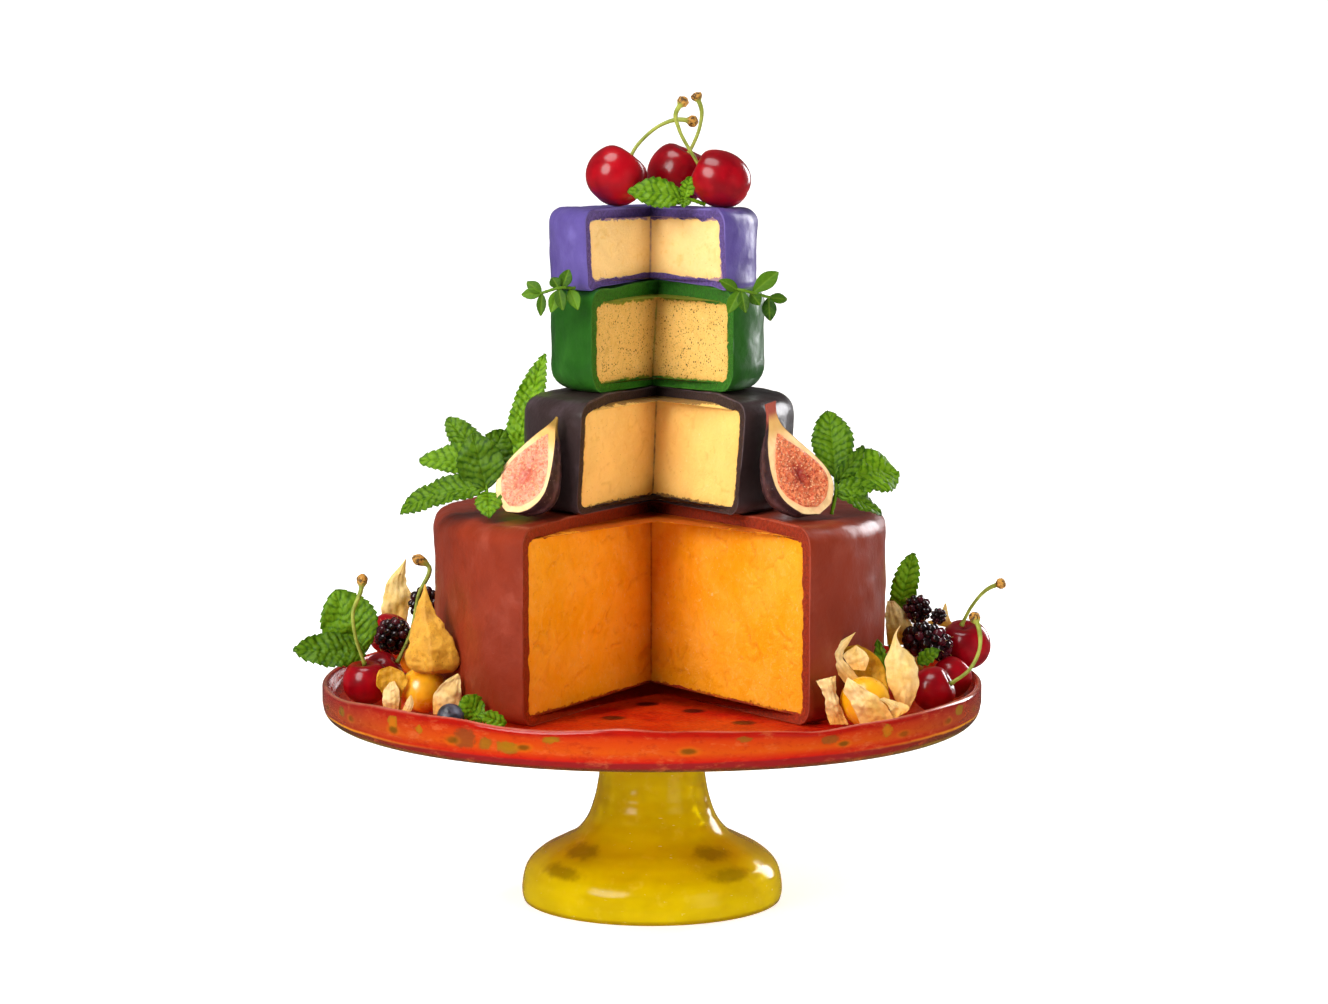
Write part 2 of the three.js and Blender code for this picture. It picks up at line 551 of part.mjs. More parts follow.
for (const [name, spec] of Object.entries(HUSKS)) {
  place(`husk_${name}`, 'husk', (grow) => blade(spec, HUSK, grow));
}
for (const [name, spec] of Object.entries(LEAVES)) {
  place(name, 'mint', (grow) => blade(spec, LEAF, grow));
}
for (const [name, spec] of Object.entries(SPRIGS)) {
  const herb = name.startsWith('oregano');
  const leaf = herb ? { ...LEAF, tooth: 0, steps: 3 } : LEAF;
  place(name, herb ? 'oregano' : 'mint', (grow) => sprig(spec, leaf, grow));
}

export default cake;
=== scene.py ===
"""Looks of a celebration cheesecake: four waxed cheeses, each with a wedge cut from its front, stacked on a
glass cake stand and dressed with cherries, brambles, ground cherries, figs, mint and oregano.

The tables below are in millimetres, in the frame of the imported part: +Z is up, the cuts face -Y and the
origin is the middle of the stand's foot.
"""

import bmesh
import bpy
import numpy as np
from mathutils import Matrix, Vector


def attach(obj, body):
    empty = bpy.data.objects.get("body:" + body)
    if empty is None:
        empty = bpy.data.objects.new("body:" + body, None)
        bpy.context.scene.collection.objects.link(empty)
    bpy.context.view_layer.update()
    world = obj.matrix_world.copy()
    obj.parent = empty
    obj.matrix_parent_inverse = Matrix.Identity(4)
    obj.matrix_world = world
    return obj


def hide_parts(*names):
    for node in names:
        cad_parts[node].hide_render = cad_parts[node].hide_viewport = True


bl_info = {
    "name": "Celebration Cheesecake",
    "version": (1, 0, 0),
    "blender": (4, 5, 0),
    "location": "3D View > Sidebar > Cheesecake",
    "description": "Builds the finish of a tower of waxed cheeses on a glass stand",
    "category": "Object",
}

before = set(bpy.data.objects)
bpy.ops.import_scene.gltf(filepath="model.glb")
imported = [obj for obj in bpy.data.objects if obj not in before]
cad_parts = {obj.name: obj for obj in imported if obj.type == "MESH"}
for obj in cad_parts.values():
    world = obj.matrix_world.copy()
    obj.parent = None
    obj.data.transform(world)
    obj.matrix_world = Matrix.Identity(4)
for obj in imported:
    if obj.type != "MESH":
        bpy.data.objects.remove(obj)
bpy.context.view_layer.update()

MM = 0.001


def chip(code):
    """A colour for the shaders from the six-letter code of a paint chip. Any other colour stays as it is."""
    if not isinstance(code, str):
        return tuple(code)
    tone = np.array([int(code[i : i + 2], 16) for i in (0, 2, 4)]) / 255
    return tuple(float(c) for c in np.where(tone < 0.04045, tone / 12.92, ((tone + 0.055) / 1.055) ** 2.4))


# ---- sizes and places ----

PLATE = {"under": 80, "floor": 86.4, "top": 95, "wall": 3, "edge": 6, "cove": 5}
RIM_REACH = (118, 130)  # from the plate's flat middle, where nothing waves, to its rim
# The rim was drawn as listed points: angle in degrees from +X through +Y, and height above its mean.
RIM_WAVE = [(0, 0.2), (40, -0.6), (75, 0.5), (110, -0.4), (150, 0.7), (180, 0.2), (205, 0.3), (218, 2.6),
    (229, 2.8), (237, 3), (244, 1.7), (252, 1.2), (259, 1.9), (265, 3), (272, 1.9), (278, 1.9), (284, 1.2),
    (291, 0.4), (298, -1), (306, 0), (315, 0.1), (327, 0.6), (345, 0), (360, 0.2)]
SPOT_RADIUS = 5.4
FLOOR_SPOTS = [(-15.9, -50.5), (-2.1, -17.4), (17.4, -34.1), (37.6, -61.6), (65.1, -61.6), (-38, -96),
    (2, -106), (-78, -84), (-112, -38), (-124, 8), (-108, 58), (-66, 98), (-14, 118), (40, 110), (88, 78),
    (118, 30), (122, -26), (96, -78), (52, -112), (-58, 22), (-18, 54), (44, 40), (72, -8)]
# Places where the rim's glass is clouded: angle, height, half width and half height, and how amber it is.
RIM_CLOUDS = [(238.5, 89.5, 6, 3.4, 0), (242.5, 89, 3, 2.4, 0.3), (246.5, 88.5, 6, 2.6, 0.4),
    (222.5, 91, 3.4, 2.6, 1), (229, 90.5, 2.6, 1.6, 0.7), (300, 91, 5, 2.2, 0.1), (312, 91, 3.4, 2.8, 1),
    (334, 91.5, 5, 2.4, 0.6), (285, 92.5, 4, 1.3, 0.2), (254, 92, 4, 1.4, 0.5), (60, 90, 5, 3, 0.4),
    (100, 90, 6, 3, 0), (140, 91, 4, 2.4, 0.8), (178, 90, 5, 2.6, 0.2), (15, 90, 4, 2.4, 0.9),
    (205, 90.5, 4, 2.5, 0.3)]
# Bands of the rim at the front and at the sides, from the bottom of the plate up. The brighter front is
# painted light, as if lit through the cut in the cheeses, and the pale last band is a painted highlight.
RIM_FRONT = [(0, "5c4a10"), (0.1, "6c3018"), (0.16, "8c1e20"), (0.26, "901e20"), (0.3, "c41c0e"),
             (0.38, "c8340a"), (0.5, "d2500a"), (0.74, "c83c0a"), (0.84, "b0180a"), (0.905, "b0180a"),
             (0.95, "ee8c74")]
RIM_SIDES = [(0, "4c3810"), (0.1, "8c8410"), (0.15, "4a3410"), (0.24, "5c2c18"), (0.285, "f0a420"),
             (0.33, "983418"), (0.5, "a4441e"), (0.74, "9e3420"), (0.88, "94201a"), (0.95, "c87c64")]
RIM_OVALS = {"count": 27, "height": 88.7, "half_width": 3.1, "half_height": 1.25}

# Both sides of the foot's wall as (radius, height).
FOOT_OUTSIDE = [(54.9, 0), (55.3, 1.2), (55.3, 8.4), (53.4, 14.6), (48.2, 19.9), (40.4, 24.2), (32.6, 28.6),
    (28.2, 34), (25, 42), (22.9, 52), (22, 66), (21.9, 79.6)]
FOOT_INSIDE = [(0, 60), (9, 57.5), (14.4, 50), (17.4, 38), (22, 30), (30, 24), (42, 16.3), (47.5, 9),
    (50.3, 0)]
# Brown ovals round the foot's shoulder: the plate seen through the glass, painted in as a reflection.
FOOT_PAINTED_REFLECTIONS = {"count": 4, "height": 21.5, "apart": 3.6, "half_width": 12, "half_height": 2.8, "radius": 46}

# The cut of a wheel is given by the x of its apex and of its two corners on the rim, below and above.
WHEELS = {
    "red": dict(x=3.3, radius=95.5, low=86.7, high=169.2, round_low=8, round_high=8, flat=62, droop=1.2,
                dome=0, side=4.5, lid=5.5, base=4.2, apex_y=15, apex=(-0.4, -0.4), left=(-52, -52),
                right=(64.2, 64.2)),
    "black": dict(x=3, radius=56.8, low=169.5, high=218.5, round_low=6, round_high=7.5, flat=36, droop=2.3,
                  dome=0, side=3.5, lid=4.5, base=2.8, apex_y=11, apex=(0.2, 2.1), left=(-31.2, -28.4),
                  right=(35.4, 39.3)),
    "green": dict(x=2.5, radius=44.9, low=218.8, high=262, round_low=10, round_high=8, flat=30, droop=0,
                  dome=1.7, side=4, lid=6.4, base=4, apex_y=9, apex=(0, 2.4), left=(-24.9, -24.9),
                  right=(34.1, 34.1), sag=0.9),
    "purple": dict(x=0.8, radius=43.2, low=262.3, high=294.3, round_low=3, round_high=6, flat=30, droop=0,
                   dome=0, side=3.5, lid=4.3, base=2.8, apex_y=9, apex=(-0.8, -0.4), left=(-26.4, -27.7),
                   right=(31.5, 29.8), hollow=2, sag=1.5),
}
# Each wheel's cut wax; the pale tone of its scuffs and painted sheen, which also paints the highlight on
# its cut corner; the deep tone of its paste, which paints shade in the paste; and how strong the scuffs
# and painted sheen are.
WHEEL_TONES = {
    "red": ("a4300c", "bc6450", "e07a00", 0.3),
    "black": ("3e2c2a", "7c6a74", "e4a23c", 0.3),
    "green": ("2c7410", "58a03c", "b47e22", 0.18),
    "purple": ("665098", "9488d4", "f0b450", 0.3),
}
HERB_SPECKS = [(1.7, 0.9, "34300a"), (1.2, 0.85, "6a4c0c"), (0.8, 0.75, "4c5a10")]  # size, strength and tone
SNUG = 0.5  # how far the paste reaches into the wax

FRUIT_STEPS = (26, 40)  # rows and columns of a round fruit
# A fruit is given by its middle, its half sizes and the way its head points.
CHERRIES = {
    "top_left": ((-14.9, -6, 307.5), (12.9, 12.9, 12.6), (0.55, 0.15, 0.8)),
    "top_right": ((28.4, -12, 306.4), (11.6, 12.4, 13.4), (-0.85, 0.1, 0.4)),
    "top_back": ((11, 16, 308), (13, 13, 13.2), (0.4, -0.1, 0.9)),
    "left_front": ((-119.8, -22.6, 96.7), (9.8, 9.8, 9.8), (0, -0.1, 1)),
    "left_mid": ((-115, 5, 95.8), (9, 9, 9), (0.75, 0, 0.6)),
    "left_back": ((-114.6, 36, 107.8), (9.3, 9.3, 9.3), (0.3, 0.5, 0.8)),
    "right_front": ((116.7, -38.1, 96.3), (9.5, 9.5, 9.5), (0.8, -0.15, 0.4)),
    "right_mid": ((127.2, -4, 95.5), (8.7, 8.7, 8.7), (0.6, 0.4, 0.6)),
    "right_rim": ((134.4, 14, 106.6), (10.9, 10.9, 10.9), (-0.1, -0.25, 1)),
    "right_far": ((136, 36, 105.2), (9.3, 9.3, 9.3), (0.2, 0.5, 0.9)),
}
BRAMBLES = {
    "left_front": ((-111.5, 17, 110), (8.2, 8.2, 8.4), (0.2, -0.3, 0.9)),
    "left_back": ((-98.3, 20, 124), (7, 7, 7.4), (0.3, 0, 1)),
    "right_front": ((117.2, 1, 110), (8.6, 9.2, 11.4), (1, -0.3, -0.35)),
    "right_back": ((114, 16.5, 121.8), (6.6, 6.6, 6.4), (-0.3, 0, 1)),
    "right_small": ((122.8, 12.5, 119.3), (3.6, 3.6, 3.8), (0.2, -0.2, 1)),
}
GROUND_CHERRIES = {
    "left": ((-94.5, -40.4, 96.5), (9.7, 9.7, 9.7), (-0.3, 0.35, 0.85)),
    "right": ((86.5, -71.4, 97), (10.2, 10.2, 10.2), (0.25, 0.4, 0.85)),
    "left_back": ((-102, 48, 96.2), (9.5, 9.5, 9.4), (-0.3, 0.35, 0.85)),
    "right_back": ((107.5, 16, 96.2), (9.3, 9.3, 9.4), (0.25, 0.4, 0.85)),
}
BLUEBERRY = ((-81.1, -72.9, 91), (5.7, 5.7, 4.6), (0.3, -0.6, 0.7))
# Each stem runs from the fruit to its dry end.
STEMS = {
    "top_left": [(-9.5, -4.5, 314), (-7.4, -4, 318.3), (-2, -4, 324.5), (3.8, -4, 328.7), (9.7, -4, 330.8),
        (19.3, -6, 329.9)],
    "top_right": [(20.5, -10.5, 310.5), (17.6, -10.5, 315.5), (11.3, -12, 327.1), (9.9, -13, 332.8),
        (14.2, -13, 340.2)],
    "top_back": [(15, 14.5, 316), (17.3, 14, 320.2), (20.3, 14, 328.2), (21, 14, 334.5), (18.2, 14, 342.2)],
    "left_front": [(-120.2, -23.2, 104), (-124.1, -26, 118.1), (-124.7, -26, 126.4), (-121.4, -24, 135.9),
        (-120.8, -22, 142.3)],
    "left_mid": [(-109, 5.5, 100), (-103.2, 8.5, 113), (-99.8, 10.5, 129), (-95.4, 11, 141),
        (-102.4, 11, 145.2)],
    "right_front": [(123.5, -39.5, 98.5), (131.7, -42, 105.6), (135.4, -41, 113.3), (135.7, -38, 120.4),
        (133.1, -34, 127.8)],
    "right_rim": [(132.5, 11, 115.5), (136.8, 8, 124.6), (142.5, 5, 131.8), (149.6, 0, 135.8)],
}

# Height, left and right of the closed husk.
LANTERN = [(104.4, -95, -84.5), (105.6, -98.4, -80.6), (108.3, -101.2, -78.6), (111.5, -102, -78.4),
    (116, -101.2, -79.4), (120.5, -100, -82), (125, -98.8, -85.4), (130, -97.3, -88.6), (135, -95.6, -91.2),
    (138.5, -94.3, -92.4), (140.8, -93.6, -93)]
# Each petal lies between its left and right edge, from base to tip. Its middle stands in front of them by
# the third number, and the last is 1 where its inner side is in front.
HUSKS = {
    "right_curled": ([(79.3, -61, 102), (74.9, -60.8, 107.8), (70.9, -60.5, 114.7), (75, -60.2, 118.5),
        (83.2, -60, 123.6)], [(87.1, -61, 101.5), (81.3, -60.8, 108.9), (78, -60.5, 113.5),
        (80.3, -60.2, 118.8), (83.2, -60, 123.6)], 2.2, 0),
    "right_broad": ([(81.6, -58, 95.7), (77.8, -58.2, 104.2), (77.1, -58.5, 111.7), (79.3, -58.8, 117),
        (84, -59, 118.3)], [(97.3, -58, 95.7), (96.2, -58.2, 102.1), (94.6, -58.5, 109.6),
        (90.3, -58.8, 114.9), (84, -59, 118.3)], -2.5, 1),
    "right_flap": ([(82.1, -62, 108.4), (78, -61, 113.6), (83.4, -60, 118.3)], [(87, -62, 108),
        (88.8, -61, 113.1), (83.4, -60, 118.3)], 0.8, 0),
    "right_tall": ([(101.7, -67, 91.5), (98.3, -66.2, 98.2), (95.6, -65.3, 105.4), (95.3, -64.5, 113.2),
        (97.6, -63.7, 119.4), (98.9, -62.8, 123.5), (101.6, -62, 127.2)], [(103.6, -67, 91.5),
        (107.4, -66.2, 98.2), (108.3, -65.3, 107.5), (106.6, -64.5, 113.7), (100.9, -63.7, 119.4),
        (99.7, -62.8, 122.7), (101.6, -62, 127.2)], 3, 0),
    "right_low": ([(72.1, -77, 88.5), (70.4, -76.7, 93.7), (69.2, -76.3, 101), (66.3, -76, 106.2)],
        [(79.6, -77, 88.5), (76.9, -76.7, 94.7), (74.7, -76.3, 102.6), (74.3, -76, 108.3)], 1.5, 0),
    "right_front": ([(84.5, -83, 88.6), (80.2, -82.7, 97.9), (77.3, -82.3, 103.6), (78.8, -82, 108.7)],
        [(97.6, -83, 92), (93.8, -82.7, 97.9), (85.9, -82.3, 104.1), (78.8, -82, 108.7)], 1.6, 0),
    "right_small": ([(96.6, -82, 91), (94.8, -81, 97.1), (91.7, -80, 99.5)], [(102.7, -82, 94.6),
        (103.6, -81, 95.5), (93.8, -80, 100.1)], 0.8, 0),
    "right_back": ([(101, 14.5, 106.5), (100.5, 15, 113), (100, 15.5, 119), (101, 16, 125.5)],
        [(113, 14.5, 106.5), (112.5, 15, 113), (109, 15.5, 120), (104, 16, 125.5)], 2, 0),
    "right_tip": ([(117, 22, 115), (123, 22, 117.5), (126.4, 22.5, 123.5)], [(131, 24, 112), (128.5, 23, 117),
        (126.8, 22.5, 123.5)], 0.8, 0),
    "left_tall": ([(-112.4, 46, 105), (-118.5, 44, 116), (-117.3, 42.6, 124.5), (-114.6, 41.4, 132.1),
        (-111.1, 40.2, 136), (-107.3, 39, 140.8)], [(-108.7, 46, 105), (-106.4, 44, 118.9),
        (-105.3, 42.6, 123.2), (-107.2, 41.4, 128.8), (-107.6, 40.2, 134.3), (-107.3, 39, 140.8)], 2, 0),
    "left_petal": ([(-109.3, -50, 89), (-110.4, -49.3, 95.5), (-113.4, -48.7, 101), (-112.4, -48, 105.6),
        (-108, -48, 107.6)], [(-103, -50, 89), (-102.9, -49.3, 96.7), (-100.4, -48.7, 101.4),
        (-102, -48, 105), (-106.4, -48, 107.2)], -1.2, 1),
    "left_fold": ([(-110, -51.5, 89), (-110.5, -50.5, 96.9), (-108, -49.5, 100.9)], [(-104, -52, 89),
        (-103.7, -51, 96.9), (-105.7, -50, 101.8)], 1, 0),
    "left_petal_front": ([(-102.7, -56, 89.5), (-100.3, -55, 94.5), (-98.8, -54, 96.8)], [(-99.2, -56, 89),
        (-97.5, -55, 92.4), (-98.2, -54, 96)], 0.5, 0),
    "left_petal_right": ([(-89.5, -55, 88.8), (-88.9, -54.5, 97.6), (-85.1, -54, 102), (-79.5, -53.5, 105.5)],
        [(-81.6, -55, 88.8), (-78.5, -54.5, 92.5), (-78.1, -54, 100.1), (-78.6, -53.5, 104.6)], 1.6, 0),
    "left_tip": ([(-126, 4, 118), (-141, 6, 112.2), (-145.1, 9, 109.6), (-149, 12, 106.8)], [(-126, 4, 111),
        (-141, 6, 108.8), (-145, 9, 107.8), (-149, 12, 106.6)], 1, 0),
}

FIG = {"depth": 15.5, "rind": 2.4, "least_rind": 1.7, "pulp_low": 0.06}
PULP_STEPS = (0, 0.05, 0.12, 0.25, 0.38, 0.55, 0.72, 0.87, 1)
PULP_OUTLINE = (0, 0.42, 0.66, 0.93, 1, 0.86, 0.58, 0.27, 0)
FIG_STEPS = (0, 0.04, 0.09, 0.18, 0.3, 0.43, 0.57, 0.7, 0.8, 0.88, 0.95, 1)
# outline is the half width at FIG_STEPS as a share of wide, and the face bows sideways by bend. heart is
# the tone of the pulp's middle and its strength.
FIGS = {
    "left": dict(low=(-59.2, -52, 172.2), tip=(-38.6, -46, 210.3), face=(-0.68, -0.7, 0.2), bend=0, wide=14.2,
                 outline=(0.02, 0.44, 0.68, 0.9, 1, 0.92, 0.75, 0.55, 0.37, 0.2, 0.09, 0.04), pulp_high=0.82,
                 neck="8a6a2a", flush="d8a04c", pulp="fig_pulp", dark="c46448", heart=("b43c2c", 0.6)),
    "right": dict(low=(68.6, -52, 171.2), tip=(49, -44, 216.2), face=(0.68, -0.7, 0.2), bend=-4, wide=16,
                  outline=(0.02, 0.5, 0.7, 0.92, 1, 0.9, 0.69, 0.45, 0.25, 0.17, 0.16, 0.18), pulp_high=0.74,
                  neck="9c4a3c", flush="cc9848", pulp="fig_red", dark="bc3c24", heart=("8c1410", 0.85)),
}

# Each mint leaf: its base and tip, its width, the way its upper side looks, its tone from dark (0) to light
# (1), where along it it is broadest, and how high it arches.
MINT = {
    "mint_left_back": [
        ((-63, 17, 169.5), (-47.5, 25, 232), 14, (-0.3, -1, 0.2), 1, 0.5, 0)],
    "mint_plate_round": [
        ((-122, -9, 106), (-134.5, -4, 133), 24, (0.1, -1, 0.3), 0.55, 0.5, 0)],
    "mint_plate_left": [
        ((-120.5, -14, 107.5), (-149.7, -24, 111.3), 16, (0, -0.9, 0.6), 0.2, 0.45, 0)],
    "mint_plate_right": [
        ((102, 27, 98), (112.3, 25, 144.8), 11, (-0.2, -1, 0.1), 1, 0.7, 0)],
    "mint_top": [
        ((13.2, -18, 298.4), (-9.8, -20, 302.3), 12.5, (0, -0.9, 0.45), 0.5, 0.45, 1.5),
        ((13.5, -18, 298.3), (16, -18.5, 307.6), 5.5, (0, -1, 0.2), 0.7, 0.45, 0),
        ((13.6, -18, 299), (13.2, -21.5, 295.4), 5, (0, -0.8, 0.8), 0.4, 0.45, 0)],
    "mint_left": [
        ((-69, -32, 189), (-85.3, -20, 208.6), 13, (0.2, -0.9, 0.4), 0.35, 0.45, 0),
        ((-69, -32, 190), (-96.5, -30, 191.5), 13, (0, -0.8, 0.6), 0.7, 0.45, 1),
        ((-67.8, -40.5, 180), (-73.5, -37, 203), 19, (0, -1, 0.2), 0.15, 0.45, 1),
        ((-68.6, -33, 187), (-61, -23, 203.5), 14, (0.2, -1, 0.3), 0.25, 0.45, 0),
        ((-67.8, -40.5, 180.5), (-104.6, -38, 171.2), 14, (0, -0.7, 0.7), 0.3, 0.45, 4),
        ((-67, -41, 179), (-66, -55, 171), 11, (-0.1, -0.6, 0.8), 0.6, 0.45, 0)],
    "mint_right": [
        ((76, -32, 184), (74.2, -15, 211.2), 17, (0, -0.9, 0.4), 0.4, 0.5, 0),
        ((76, -33, 183), (103.4, -17, 186.5), 22, (0, -0.8, 0.6), 0.65, 0.6, 0),
        ((75.8, -36, 181.5), (88.5, -31, 197), 7, (0.4, -1, 0.1), 0.15, 0.45, 0),
        ((75.9, -38.5, 179), (92.6, -37, 181.5), 9, (0, -0.8, 0.6), 0.3, 0.45, 0),
        ((75.8, -39.5, 177.5), (95.4, -38, 169.8), 10, (0, -0.6, 0.8), 0.25, 0.45, 2)],
    "mint_bits_left": [
        ((-68.5, -70, 88), (-76, -71, 99), 11, (0.2, -1, 0.3), 0.65, 0.6, 0),
        ((-58.5, -79, 88.8), (-69.5, -81, 93.5), 6, (0, -1, 0.5), 0.7, 0.45, 0)],
    "mint_bits_right": [
        ((98, -43, 99), (92.8, -40.5, 117.5), 5.5, (-0.3, -1, 0.2), 0.45, 0.45, 0),
        ((106.5, -32, 102), (103, -28, 111), 5.5, (0, -1, 0.3), 0.3, 0.45, 0),
        ((111.5, -20, 104), (120.5, -22, 110.5), 6, (0, -1, 0.5), 0.5, 0.45, 0)],
}
MINT_STALKS = {
    "mint_top": [(12, -18, 298.6), (17, -17, 297.8), (22, -14.5, 296)],
    "mint_left": [(-67, -43, 169.6), (-68, -40, 181), (-69.5, -31, 191)],
    "mint_right": [(74, -41, 169.6), (75.8, -39, 178), (76, -31, 185)],
}
# The same for oregano, without tone and arch.
OREGANO = {
    "oregano_left": [
        ((-36.5, -38.6, 262.5), (-33.8, -37, 270.2), 5.5, (0, -1, 0.3), 0.48),
        ((-33.5, -36.2, 262), (-30, -42, 254), 5.5, (0, -1, 0.4), 0.48),
        ((-38, -40, 262.5), (-36.2, -44.5, 253.8), 5, (0, -1, 0.4), 0.48),
        ((-38, -40, 262.5), (-40.7, -38, 267), 5, (0, -1, 0.4), 0.48),
        ((-45, -38.2, 260.4), (-51.2, -36, 264.8), 5, (0, -1, 0.5), 0.48),
        ((-45, -38.2, 260.4), (-53.2, -38, 259.6), 5, (0, -1, 0.5), 0.48),
        ((-44.8, -38.2, 260.4), (-45.3, -40.5, 251.2), 4, (0, -1, 0.3), 0.48),
        ((-38.2, -40, 261.8), (-41, -43, 252.8), 5, (0, -1, 0.4), 0.48)],
    "oregano_right": [
        ((35.5, -37.2, 261.4), (27.6, -39.5, 266), 5, (0, -1, 0.4), 0.48),
        ((36, -37.6, 261.4), (31.3, -42, 252.4), 5.5, (0, -1, 0.4), 0.48),
        ((36.8, -38, 261.4), (38.4, -41.5, 252.6), 5, (0, -1, 0.4), 0.48),
        ((41, -36, 260.2), (52, -30.5, 269), 7, (0.2, -1, 0.4), 0.55),
        ((48, -33.2, 258.2), (56, -28.5, 257.2), 4.5, (0.2, -1, 0.4), 0.48),
        ((48, -33.2, 258.4), (48.6, -34, 248.8), 6, (0, -1, 0.3), 0.48),
        ((40.5, -36.2, 260.4), (44.5, -37.5, 255.5), 5.5, (0, -1, 0.4), 0.48)],
}
OREGANO_STALKS = {
    "oregano_left": [(-31.5, -34.5, 262.4), (-38, -40, 262.6), (-45.5, -38, 260.3)],
    "oregano_right": [(33, -34.5, 262.2), (36.5, -38, 261.8), (48.5, -33, 258.4)],
}

# Each setting's lamp: its name, place and size in metres, its colour, and whether gloss mirrors it.
LAMPS = {
    "key": ("lamp_left", (-1.3, -1.5, 1.2), (1.3, 1.5), (1.0, 0.99, 0.97), True),
    "fill": ("lamp_right", (1.5, -1.4, 0.5), (1.1, 1.1), (1.0, 0.985, 0.97), False),
    "top": ("lamp_top", (-0.35, -0.3, 1.5), (0.9, 0.7), (1.0, 1.0, 1.0), True),
    "rim": ("lamp_rim", (1.0, 1.0, 0.55), (0.5, 0.9), (0.97, 0.97, 1.0), True),
}
LAMP_AIM = (0, 0, 0.18)
CAMERA = {"aside": 5.1 * MM, "pitch": 6.577, "sensor": 36, "far": 30}


# ---- shapes ----


def unit(v):
    """Vectors scaled to length 1."""
    v = np.asarray(v, float)
    return v / np.maximum(np.linalg.norm(v, axis=-1, keepdims=True), 1e-9)


def ease(low, high, x):
    """0 below low, 1 above high and a smooth step between them."""
    t = np.clip((x - low) / (high - low), 0, 1)
    return t * t * (3 - 2 * t)


def bell(x, width):
    """A bell curve: 1 where x is 0, and about a third a width away from it."""
    return np.exp(-((x / width) ** 2))


def round_angles(count):
    """Even angles once round."""
    return np.linspace(0, 2 * np.pi, count, endpoint=False)


def ripple(points, size, seed, waves=26):
    """Smooth random relief, about -1 to 1: a sum of plane waves of random direction, whose lengths lie
    about size, in millimetres."""
    chance = np.random.default_rng(seed)
    numbers = unit(chance.normal(size=(waves, 3))) * (2 * np.pi / size) * chance.uniform(0.6, 1.5, (waves, 1))
    return np.sin(points @ numbers.T + chance.uniform(0, 2 * np.pi, waves)).sum(-1) * (0.75 / np.sqrt(waves))


def crumple(points, seed, *waves):
    """A sum of ripples, each given by its height and its size."""
    return sum(height * ripple(points, size, seed + k) for k, (height, size) in enumerate(waves))


def glide(knots, values, x):
    """A smooth curve through values at knots: cubic pieces whose slopes are those of the chords beside."""
    knots, values = np.asarray(knots, float), np.asarray(values, float)
    slope = np.gradient(values, knots, axis=0)
    i = np.clip(np.searchsorted(knots, x, side="right") - 1, 0, len(knots) - 2)
    step = knots[i + 1] - knots[i]
    t = (x - knots[i]) / step
    if values.ndim > 1:
        step, t = step[..., None], t[..., None]
    return (
        (2 * t**3 - 3 * t**2 + 1) * values[i]
        + (t**3 - 2 * t**2 + t) * step * slope[i]
        + (3 * t**2 - 2 * t**3) * values[i + 1]
        + (t**3 - t**2) * step * slope[i + 1]
    )


def distances(points):
    """How far along their line each of some points lies."""
    return np.r_[0, np.cumsum(np.linalg.norm(np.diff(points, axis=0), axis=1))]


def route(points, count):
    """Even steps along a smooth curve through points, whose knots stand as far apart as the points do."""
    points = np.asarray(points, float)
    knots = distances(points)
    dense = glide(knots, points, np.linspace(0, knots[-1], 40 * len(points)))
    gone = distances(dense)
    even = np.linspace(0, gone[-1], count)
    return np.stack([np.interp(even, gone, dense[:, k]) for k in range(3)], -1)


def arc(r, z, radius, start, end, steps):
    """Points (radius, height) on part of a circle, with its angles in degrees."""
    angle = np.radians(np.linspace(start, end, steps))
    return np.stack([r + radius * np.cos(angle), z + radius * np.sin(angle)], -1)


def line(start, end, steps):
    """Even points from start up to, and not including, end."""
    return np.linspace(start, end, steps, endpoint=False)


def facing(axis):
    """Three unit vectors as the rows of a turn that carries +Z to axis."""
    z = unit(axis)
    x = unit(np.cross((0, 1, 0.2), z))
    return np.stack([x, np.cross(z, x), z])


def outward(grid, around=True):
    """Unit normals of a grid of points, from the steps along its rows and columns."""
    wide = np.concatenate([grid[:, -1:], grid, grid[:, :1]], 1) if around else grid
    across = np.gradient(wide, axis=1)[:, 1:-1] if around else np.gradient(wide, axis=1)
    return unit(np.cross(across, np.gradient(grid, axis=0)))


def skin(grid, around=True, closed=True, **marks):
    """Faces over a grid of points. around joins the last column to the first, and closed fans out from a
    point in the middle of the first row and of the last. marks are numbers kept with the points."""
    rows, columns = grid.shape[:2]
    points = grid.reshape(-1, 3)
    row, column = np.mgrid[0 : rows - 1, 0 : columns if around else columns - 1]
    after = (column + 1) % columns
    corners = [row * columns + column, row * columns + after]
    quads = np.stack([*corners, corners[1] + columns, corners[0] + columns], -1).reshape(-1, 4)
    fans = np.zeros((0, 3), int)
    kept = {name: np.broadcast_to(mark, (rows, columns)).ravel() for name, mark in marks.items()}
    if closed:
        turn = np.arange(columns)
        onward = (turn + 1) % columns
        first, last = np.full(columns, len(points)), np.full(columns, len(points) + 1)
        points = np.vstack([points, grid[0].mean(0), grid[-1].mean(0)])
        end = (rows - 1) * columns
        fans = np.vstack([np.stack([first, onward, turn], -1),
                          np.stack([last, end + turn, end + onward], -1)])
        kept = {name: np.r_[m, m[:columns].mean(), m[-columns:].mean()] for name, m in kept.items()}
    return points, quads, fans, kept


def tube(points, radius, sides, **marks):
    """A round rod along a path, whose radius may change along it. Its rings stand square to the path."""
    ahead = unit(np.gradient(points, axis=0))
    side = unit(np.cross(ahead, (0.1, 1, 0.05)))
    turn = round_angles(sides)[:, None]
    ring = np.cos(turn) * side[:, None] + np.sin(turn) * np.cross(ahead, side)[:, None]
    grid = points[:, None] + ring * np.broadcast_to(radius, len(points))[:, None, None]
    return skin(grid, **{name: np.asarray(mark)[:, None] for name, mark in marks.items()})


